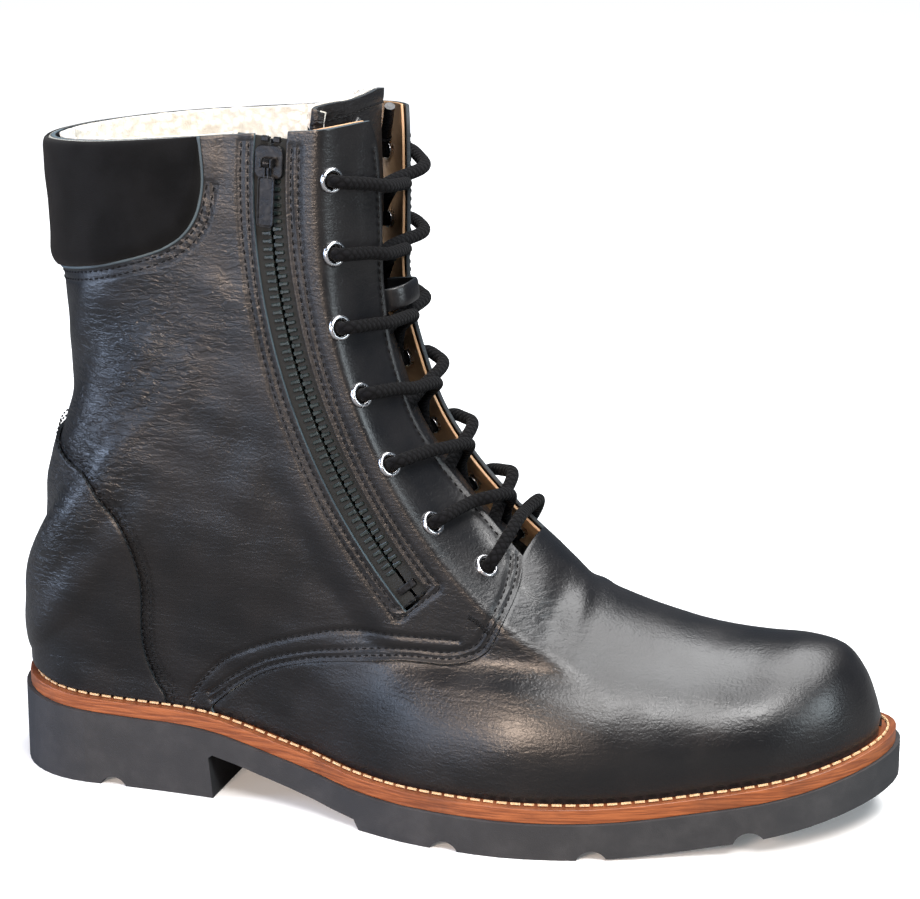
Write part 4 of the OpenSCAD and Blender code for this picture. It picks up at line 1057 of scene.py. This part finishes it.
# %% [markdown]
# The eyelets are rolled rings of dark nickel. One ring is a half circle of its profile spun round
# its axis, then set upright on the leather at each place.
# %% Eyelets
gunmetal, tree_g, shader = new_material("gunmetal_plate", Metallic=1.0)
scuff = own_noise(tree_g, 1400.0, 4.0)
paint(tree_g, shader, scuff, (0.55, 0.55, 0.57), (0.72, 0.72, 0.74))
feed(tree_g, shader.inputs["Roughness"], ramp(tree_g, scuff, 0.3, 0.7, 0.16, 0.32))

BORE, RING = 2.65, 4.3


def ring(bm, k, q):
    """One eyelet: a rolled flange above, a barrel and a smaller flange below."""
    flange = [(RING - 0.75 + 0.75 * math.cos(a), EYELET_TOP - 0.55 + 1.0 * math.sin(a))
              for a in np.linspace(-0.5, math.pi * 0.55, 7)]
    profile = flange + [(BORE + 0.35, EYELET_TOP + 0.42), (BORE + 0.05, EYELET_TOP),
                        (BORE, EYELET_TOP - 0.6),
                        (BORE, EYELET_LOW), (BORE + 0.4, EYELET_LOW - 0.5), (RING - 1.2, EYELET_LOW - 0.4),
                        (RING - 1.0, EYELET_LOW)]
    verts = [bm.verts.new((r * MM, 0, h * MM)) for r, h in profile]
    edges = [bm.edges.new(pair) for pair in zip(verts, verts[1:])]
    made = bmesh.ops.spin(bm, geom=verts + edges, cent=(0, 0, 0), axis=(0, 0, 1), angle=2 * math.pi,
                          steps=28,
                          use_merge=True)
    turned = {w for f in bm.faces if not f.tag for w in f.verts}
    n = Vector(normal_of(np.array([k]), np.array([q]))[0])
    base = Vector((last_shape(np.array([k]), np.array([q]))[0] + ORIGIN) * MM)
    upright = Matrix.Translation(base) @ n.to_track_quat("Z", "Y").to_matrix().to_4x4()
    bmesh.ops.transform(bm, matrix=upright, verts=list(turned))
    for f in bm.faces:
        f.tag = True
    return made


for word, side in (("lateral", -1), ("medial", 1)):
    bm = bmesh.new()
    for k, q in EYELETS:
        ring(bm, k, side * q)
    bmesh.ops.recalc_face_normals(bm, faces=bm.faces)
    rings = finish_mesh(bm, f"eyelet_rings_{word}", [gunmetal])
    wall = rings.modifiers.new("plate", "SOLIDIFY")
    wall.thickness, wall.offset = 0.22 * MM, -1
    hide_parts(f"eyelets_{word}")

# %% [markdown]
# The zip's tapes are woven, and its teeth are small rounded blocks clamped on their inner edges.
# A place on the zip is a distance from its middle line, an angle round its centre and a depth.
# %% Places on the zip
GAP, TAPE_T, TOOTH_T, TOOTH_PITCH, SLIDER_ANGLE = 0.15, 0.8, 2.4, 2.6, 177.0
TAPE_REACH, PARTING = 11.8, 1.0
TAPE_DEPTH = 1.5 - LEATHER_STEP + GAP


def on_zip(reach, angle, height):
    """A frame on the zip: x away from the curve's centre, y down along the zip, z out of the boot."""
    a = math.radians(angle)
    away = Vector((math.cos(a), 0, math.sin(a)))
    down = Vector((-math.sin(a), 0, math.cos(a)))
    out = Vector((0, -1, 0))
    place = (Vector((ZIP_CENTRE[0], -ZIP_FLAT, ZIP_CENTRE[1])) + away * (ZIP_RADIUS + reach) + out * height
             + Vector(ORIGIN)) * MM
    return Matrix.Translation(place) @ Matrix((away, down, out)).transposed().to_4x4()


# %% Tapes
tape_cloth, tree_z, shader = new_material("zip_tape_weave", Roughness=0.8, Sheen_Weight=0.15)
uv = add(tree_z, "SeparateXYZ", Vector=add(tree_z, "UVMap", uv_map="UVMap").outputs[0]).outputs
warp = maths(tree_z, "SINE", maths(tree_z, "MULTIPLY", uv[0], 9.0))
weft = maths(tree_z, "SINE", maths(tree_z, "MULTIPLY", uv[1], 9.0))
cloth = maths(tree_z, "MULTIPLY", maths(tree_z, "MULTIPLY", warp, weft), 0.5)
# Painted shade: the tape's colour is darker where the weave dips and lighter where it stands up.
paint(tree_z, shader, ramp(tree_z, cloth, -0.4, 0.4), (0.004, 0.005, 0.0055), (0.012, 0.015, 0.016))
set_height(tree_z, shader, maths(tree_z, "MULTIPLY", cloth, 0.12))


def zip_sheet(name, reach, depth, thickness, angles, material):
    """A flat band along the zip; reach is the pair of its edges' distances from the middle."""
    bm, u, v = new_grid(12, 150)
    across = mix(reach[0], reach[1], u)
    angle = np.radians(mix(angles[0], angles[1], v))
    points = np.column_stack([ZIP_CENTRE[0] + (ZIP_RADIUS + across) * np.cos(angle),
                              np.full(len(u), -ZIP_FLAT + depth),
                              ZIP_CENTRE[1] + (ZIP_RADIUS + across) * np.sin(angle)])
    set_points(bm, (points + ORIGIN) * MM)
    set_uv(bm, across, v * math.radians(angles[1] - angles[0]) * ZIP_RADIUS)
    bm.normal_update()
    bm.faces.ensure_lookup_table()
    if bm.faces[0].normal.y > 0:
        bmesh.ops.reverse_faces(bm, faces=bm.faces)
    sheet = finish_mesh(bm, name, [material])
    wall = sheet.modifiers.new("thickness", "SOLIDIFY")
    wall.thickness, wall.offset = thickness * MM, -1
    soft = sheet.modifiers.new("soft_edges", "BEVEL")
    soft.width, soft.segments, soft.limit_method, soft.angle_limit = 0.2 * MM, 2, "ANGLE", 1.0
    return sheet


for word, side in (("front", -1), ("rear", 1)):
    tape = zip_sheet(f"zip_tape_woven_{word}", (side * (PARTING / 2 + 0.1), side * TAPE_REACH), TAPE_DEPTH,
                     TAPE_T,
                     (ZIP_TOP, ZIP_FOOT), tape_cloth)
    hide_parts(f"zip_tape_{word}")
guard = zip_sheet("zip_guard_leather", (-9.2, 13.6), 5.6, 1.0, (ZIP_TOP + 0.4, ZIP_FOOT + 0.8), BLACK_CALF)
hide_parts("zip_guard")

# %% Teeth
tooth_black, tree_b, shader = new_material("zip_tooth_black", Specular_IOR_Level=0.6)
spots = own_noise(tree_b, 700.0, 2.0)
# Painted reflection: the green tint and the lighter spots in the colour of the black teeth stand in for
# reflections.
paint(tree_b, shader, spots, (0.006, 0.009, 0.009), (0.018, 0.03, 0.028))
feed(tree_b, shader.inputs["Roughness"], ramp(tree_b, spots, 0.3, 0.7, 0.22, 0.38))
tooth_step = math.degrees(TOOTH_PITCH / ZIP_RADIUS)
first_tooth = SLIDER_ANGLE - 0.4
tooth_count = int((ZIP_FOOT - 2.6 - first_tooth) / tooth_step)
for word, side, shift in (("front", -1, 0.0), ("rear", 1, 0.5)):
    bm = bmesh.new()
    for i in range(tooth_count):
        place = on_zip(side * 2.0, first_tooth + (i + shift) * tooth_step, -TAPE_DEPTH - TAPE_T / 2)
        body = place @ Matrix.Diagonal((3.0 * MM, 1.15 * MM, TOOTH_T * MM, 1))
        bmesh.ops.create_cube(bm, size=1, matrix=body)
        head = place @ Matrix.Translation((-side * 1.15 * MM, 0, 0))
        head = head @ Matrix.Diagonal((0.95 * MM, 1.5 * MM, 1.02 * TOOTH_T * MM, 1))
        bmesh.ops.create_cube(bm, size=1, matrix=head)
    bmesh.ops.bevel(bm, geom=bm.edges[:], offset=0.22 * MM, affect="EDGES", segments=1, profile=0.5,
                    material=-1)
    teeth = finish_mesh(bm, f"zip_teeth_row_{word}", [tooth_black], smooth_faces=False)
    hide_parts(f"zip_teeth_{word}")
print("zip:", 2 * tooth_count, "teeth")

# %% [markdown]
# The slider is a small die casting: two plates joined at the nose, two lugs with a pin between
# them, and a pull that hangs from the pin. Castings have no sharp edges, so every block is
# rounded. The slider rides on its own body and the pull on another, because both move.
# %% Blocks with rounded corners
def block(whole, place, size, middle=(0, 0, 0), corner=0.0, soft=0.2, recess=0.0):
    """A block of the given size in millimetres; corner rounds its outline, recess sinks its face."""
    part = bmesh.new()
    bmesh.ops.create_cube(part, size=1, matrix=Matrix.Diagonal((*size, 1)))
    if corner:
        upright = [e for e in part.edges if abs(e.verts[0].co.z - e.verts[1].co.z) > 0.9 * size[2]]
        bmesh.ops.bevel(part, geom=upright, offset=corner, affect="EDGES", segments=5, profile=0.5,
                        material=-1)
    if recess:
        face = max(part.faces, key=lambda f: f.calc_center_median().z)
        bmesh.ops.inset_region(part, faces=[face], thickness=0.75)
        bmesh.ops.translate(part, verts=face.verts, vec=(0, 0, -recess))
    sharp = [e for e in part.edges if e.calc_face_angle(0) > 0.6]
    bmesh.ops.bevel(part, geom=sharp, offset=soft, affect="EDGES", segments=2, profile=0.5, material=-1)
    scale = Matrix.Diagonal((MM, MM, MM, 1))
    bmesh.ops.transform(part, matrix=place @ scale @ Matrix.Translation(middle), verts=part.verts)
    take_in(whole, part)


def rod(whole, place, radius, length, middle):
    """A rod across the zip."""
    part = bmesh.new()
    bmesh.ops.create_cone(part, cap_ends=True, segments=28, radius1=radius, radius2=radius, depth=length,
                          matrix=Matrix.Rotation(math.pi / 2, 4, "Y"))
    rims = [e for e in part.edges if e.calc_face_angle(0) > 1]
    bmesh.ops.bevel(part, geom=rims, offset=0.15, affect="EDGES", segments=2, profile=0.5, material=-1)
    scale = Matrix.Diagonal((MM, MM, MM, 1))
    bmesh.ops.transform(part, matrix=place @ scale @ Matrix.Translation(middle), verts=part.verts)
    take_in(whole, part)


# %% Slider, pull and stops
zip_black, tree_z, shader = new_material("zip_metal_black", Metallic=0.6)
rub = own_noise(tree_z, 520.0, 4.0)
paint(tree_z, shader, ramp(tree_z, rub, 0.45, 0.75), (0.012, 0.012, 0.013), (0.03, 0.032, 0.035))
feed(tree_z, shader.inputs["Roughness"], ramp(tree_z, rub, 0.3, 0.7, 0.24, 0.38))
set_height(tree_z, shader, maths(tree_z, "MULTIPLY", rub, 0.05))
here = on_zip(0, SLIDER_ANGLE, 0)
SLIDER_LOW, SLIDER_UNDER, PIN_HEIGHT, PIN = 0.1, -3.0, 2.9, 1.6
bm = bmesh.new()
block(bm, here, (9.4, 11, 1.1), (0, 0, SLIDER_LOW + 0.55), corner=2.4, soft=0.3)
block(bm, here, (9.4, 11, 1.1), (0, 0, SLIDER_UNDER - 0.55), corner=2.4, soft=0.3)
block(bm, here, (0.7, 3, 3.3), (0, -4, (SLIDER_LOW + SLIDER_UNDER) / 2), soft=0.15)
for side in (-1, 1):
    block(bm, here, (0.9, 6.4, 0.75), (side * 4.2, 0.3, SLIDER_LOW - 0.25), soft=0.2)
    block(bm, here, (0.9, 6.4, 0.75), (side * 4.2, 0.3, SLIDER_UNDER + 0.25), soft=0.2)
    block(bm, here, (1, 3.2, 3.3), (side * 1.7, 0, SLIDER_LOW + 2.7), soft=0.42)
rod(bm, here, PIN / 2, 3.4, (0, 0, PIN_HEIGHT))
slider = finish_mesh(bm, "zip_slider_cast", [zip_black], body="slider", smooth_faces=False)
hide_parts("zip_slider")

bm = bmesh.new()
for side in (-1, 1):
    block(bm, here, (0.7, 4.9, 1.2), (side * 0.62, 2.6, PIN_HEIGHT), soft=0.2)
block(bm, here, (5.6, 16.6, 1.3), (0, 12.5, PIN_HEIGHT), corner=1.5, soft=0.28, recess=0.32)
ring_part = bmesh.new()
outline_yz = [ring_part.verts.new((-1.0, 0.86, 0)), ring_part.verts.new((1.0, 0.86, 0)),
              ring_part.verts.new((1.0, 1.6, 0)), ring_part.verts.new((-1.0, 1.6, 0))]
eye_edges = [ring_part.edges.new((outline_yz[i], outline_yz[(i + 1) % 4])) for i in range(4)]
bmesh.ops.spin(ring_part, geom=outline_yz + eye_edges, cent=(0, 0, 0), axis=(1, 0, 0), angle=2 * math.pi,
               steps=28,
               use_merge=True)
bmesh.ops.recalc_face_normals(ring_part, faces=ring_part.faces)
to_pin = here @ Matrix.Diagonal((MM, MM, MM, 1)) @ Matrix.Translation((0, 0, PIN_HEIGHT))
bmesh.ops.transform(ring_part, matrix=to_pin, verts=ring_part.verts)
take_in(bm, ring_part)
pull = finish_mesh(bm, "zip_pull_tab", [zip_black], body="pull", smooth_faces=False)
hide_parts("zip_pull")

bm = bmesh.new()
stop_at = on_zip(0, SLIDER_ANGLE - math.degrees(5.5 / ZIP_RADIUS) - 0.35, -TAPE_DEPTH)
for side in (-1, 1):
    block(bm, stop_at, (2.4, 1.8, 1.4), (side * 2.0, -0.6, 0.75), soft=0.3)
stops = finish_mesh(bm, "zip_stops_top", [zip_black], smooth_faces=False)
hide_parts("zip_top_stops")
bm = bmesh.new()
block(bm, on_zip(0, ZIP_FOOT - 1.5, -TAPE_DEPTH), (7.2, 2.4, 1.3), (0, 0, 0.7), corner=0.5, soft=0.3)
last_stop = finish_mesh(bm, "zip_stop_foot", [zip_black], smooth_faces=False)
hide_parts("zip_bottom_stop")

# %% [markdown]
# The lining is sheared wool: short white curls. The sheet itself is lumpy, a couple of
# millimetres from curl to curl, and the material adds the strands. It shows at the rim, where the
# pile swells up against the leather.
# %% Wool
from mathutils import noise
wool, tree_w, shader = new_material("white_wool", Roughness=0.95, Specular_IOR_Level=0.15, Sheen_Weight=0.3,
                                    Sheen_Roughness=0.5)
space = add(tree_w, "TexCoord").outputs["Object"]
curls = add(tree_w, "TexVoronoi", feature="SMOOTH_F1", Vector=space, Scale=420.0,
            Smoothness=0.7).outputs["Distance"]
strands = add(tree_w, "TexNoise", Vector=space, Scale=1500.0, Detail=4.0, Distortion=1.2).outputs[0]
# Painted shade: the wool's colour is darker in the hollows between the curls.
paint(tree_w, shader, ramp(tree_w, curls, 0.1, 0.7), (0.86, 0.84, 0.79), (0.6, 0.57, 0.5))
pile = weighed(tree_w, curls, -0.9, strands, 0.45)
set_height(tree_w, shader, pile)


def pile_height(base):
    """A height function: base, with curls, and a swelling at the rim."""
    def height(k, q, u, v):
        p = last_shape(k, q)
        curl = np.array([noise.noise(Vector(point) * 0.33) for point in p])
        return base + 0.9 * curl - 0.5 + 1.9 * smooth((k - 20.5) / 0.4)
    return height


STIFF_OUT, LINING = -1.8, 2.3
LINING_OUT = STIFF_OUT - 1.1 - 0.3
rear_wool = np.vstack([zip_line(ZIP_RADIUS + 14.5, 21, 12.2, 10), [(12.1, -100)]])
fore_wool = [(21, 62), (19, 60), (17, 56), (15, 54), (13.5, 54), (12.6, 60), (12.1, 66)]
for word, lines in (("outer", [[(mix(21, 12.1, i / 10), -179.5) for i in range(11)], rear_wool]),
                    ("inner", [fore_wool, [(mix(21, 12.1, i / 10), 179.5) for i in range(11)]])):
    lining = panel(f"shaft_wool_{word}", lines, [70], 120, pile_height(LINING_OUT - 0.45), LINING, [wool],
                   flex=no_flex, round_edge=0.6)
    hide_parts("shaft_lining")
toe_wool = [(0.5, -176 + 352 * i / 12) for i in range(13)]
throat_wool = [(12, -176), (12, -140), (11.9, -110), (11, -80), (10.4, -60), (10.2, -35), (10.2, 0),
               (10.2, 35),
               (10.4, 60), (11, 80), (11.9, 110), (12, 140), (12, 176)]
vamp_wool = panel("vamp_wool", [toe_wool, throat_wool], [90], 150, pile_height(LINING_OUT - 0.1), LINING,
                  [wool],
                  flex=no_flex)
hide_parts("vamp_lining")
tongue_wool = panel("tongue_wool", tongue_lines(1), [24, 24], 110,
                    lambda k, q, u, v: TONGUE_OUT - TONGUE_T - 0.35 - 0.15 * np.sin(9 * k) * np.sin(q / 3),
                    1.4,
                    [wool], flex=no_flex)
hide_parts("tongue_lining")
print("wool faces", sum(len(p.data.polygons) for p in (vamp_wool, tongue_wool)))

# %% [markdown]
# The outsole is moulded rubber and the welt is a strip of vegetable-tanned leather with a
# burnished edge. The CAD model has both shapes, so a copy of each is cleaned up and its corners
# are rounded a little, as a mould and an edge iron leave them.
# %% Rounded copies of CAD pieces
def rounded_copy(node, name, material, width, segments=2):
    bm = bmesh.new()
    bm.from_mesh(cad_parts[node].data)
    bmesh.ops.remove_doubles(bm, verts=bm.verts, dist=1e-6)
    bmesh.ops.dissolve_limit(bm, angle_limit=math.radians(1.5), verts=bm.verts, edges=bm.edges)
    piece = finish_mesh(bm, name, [material])
    piece.data.set_sharp_from_angle(angle=math.radians(28))
    soft = piece.modifiers.new("soft_edges", "BEVEL")
    soft.width, soft.segments = width * MM, segments
    soft.limit_method, soft.angle_limit = "ANGLE", math.radians(28)
    soft.harden_normals = True
    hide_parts(node)
    return piece


# %% Sole, welt and footbed
rubber, tree_r, shader = new_material("sole_rubber", Specular_IOR_Level=0.35)
space = add(tree_r, "TexCoord").outputs["Object"]
mould = add(tree_r, "TexNoise", Vector=space, Scale=2600.0, Detail=2.0).outputs[0]
dust = add(tree_r, "TexNoise", Vector=space, Scale=70.0, Detail=5.0, Roughness=0.65).outputs[0]
paint(tree_r, shader, ramp(tree_r, dust, 0.4, 0.75), (0.032, 0.033, 0.036), (0.05, 0.05, 0.053))
feed(tree_r, shader.inputs["Roughness"], ramp(tree_r, dust, 0.3, 0.7, 0.62, 0.78))
set_height(tree_r, shader, weighed(tree_r, mould, 0.09, dust, 0.12))
rounded_copy("outsole", "rubber_outsole", rubber, 0.7)

veg, tree_v, shader = new_material("welt_burnished", Coat_Weight=0.2, Coat_Roughness=0.35)
space = add(tree_v, "TexCoord").outputs["Object"]
layers = add(tree_v, "VectorMath", operation="MULTIPLY", I0=space, I1=(70, 70, 1500)).outputs[0]
streaks = add(tree_v, "TexNoise", Vector=layers, Scale=1.0, Detail=4.0, Roughness=0.6).outputs[0]
stain = add(tree_v, "TexNoise", Vector=space, Scale=48.0, Detail=5.0, Roughness=0.6).outputs[0]
edge = blend_colors(tree_v, ramp(tree_v, streaks, 0.35, 0.65), (0.19, 0.05, 0.015), (0.37, 0.11, 0.032))
edge = blend_colors(tree_v, ramp(tree_v, stain, 0.48, 0.75, 0.0, 0.6), edge, (0.1, 0.03, 0.012))
upward = add(tree_v, "SeparateXYZ", Vector=add(tree_v, "NewGeometry").outputs["Normal"]).outputs[2]
paint(tree_v, shader, ramp(tree_v, upward, 0.3, 0.8, 0.0, 0.55), edge, (0.15, 0.045, 0.018))
feed(tree_v, shader.inputs["Roughness"], ramp(tree_v, streaks, 0.3, 0.7, 0.38, 0.55))
set_height(tree_v, shader, weighed(tree_v, streaks, 0.12, stain, 0.1))
rounded_copy("welt", "welt_strip", veg, 0.9, 3)
rounded_copy("footbed", "wool_footbed", wool, 1.2)


# %% Finishes of the pieces that stay as the CAD model has them
STAYING = {
    "welt_stitching": speckled("tan_thread", (0.5, 0.3, 0.14), (0.7, 0.5, 0.3), 0.6, 2400.0, 0.2),
    "cork_filler": speckled("pressed_cork", (0.42, 0.25, 0.12), (0.6, 0.42, 0.24), 0.9, 700.0, 0.4),
    "shank": speckled("spring_steel", (0.42, 0.42, 0.44), (0.52, 0.52, 0.54), 0.4, 1500.0, 0.02, 1.0),
    "insole_board": speckled("fibre_board", (0.5, 0.4, 0.27), (0.62, 0.52, 0.38), 0.85, 1200.0),
    "toe_puff": moulded_sheet,
    "lace_aglets": aglet_material}
for node, material in STAYING.items():
    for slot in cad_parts[node].material_slots:
        slot.material = material
print(len(STAYING), "CAD pieces dressed")
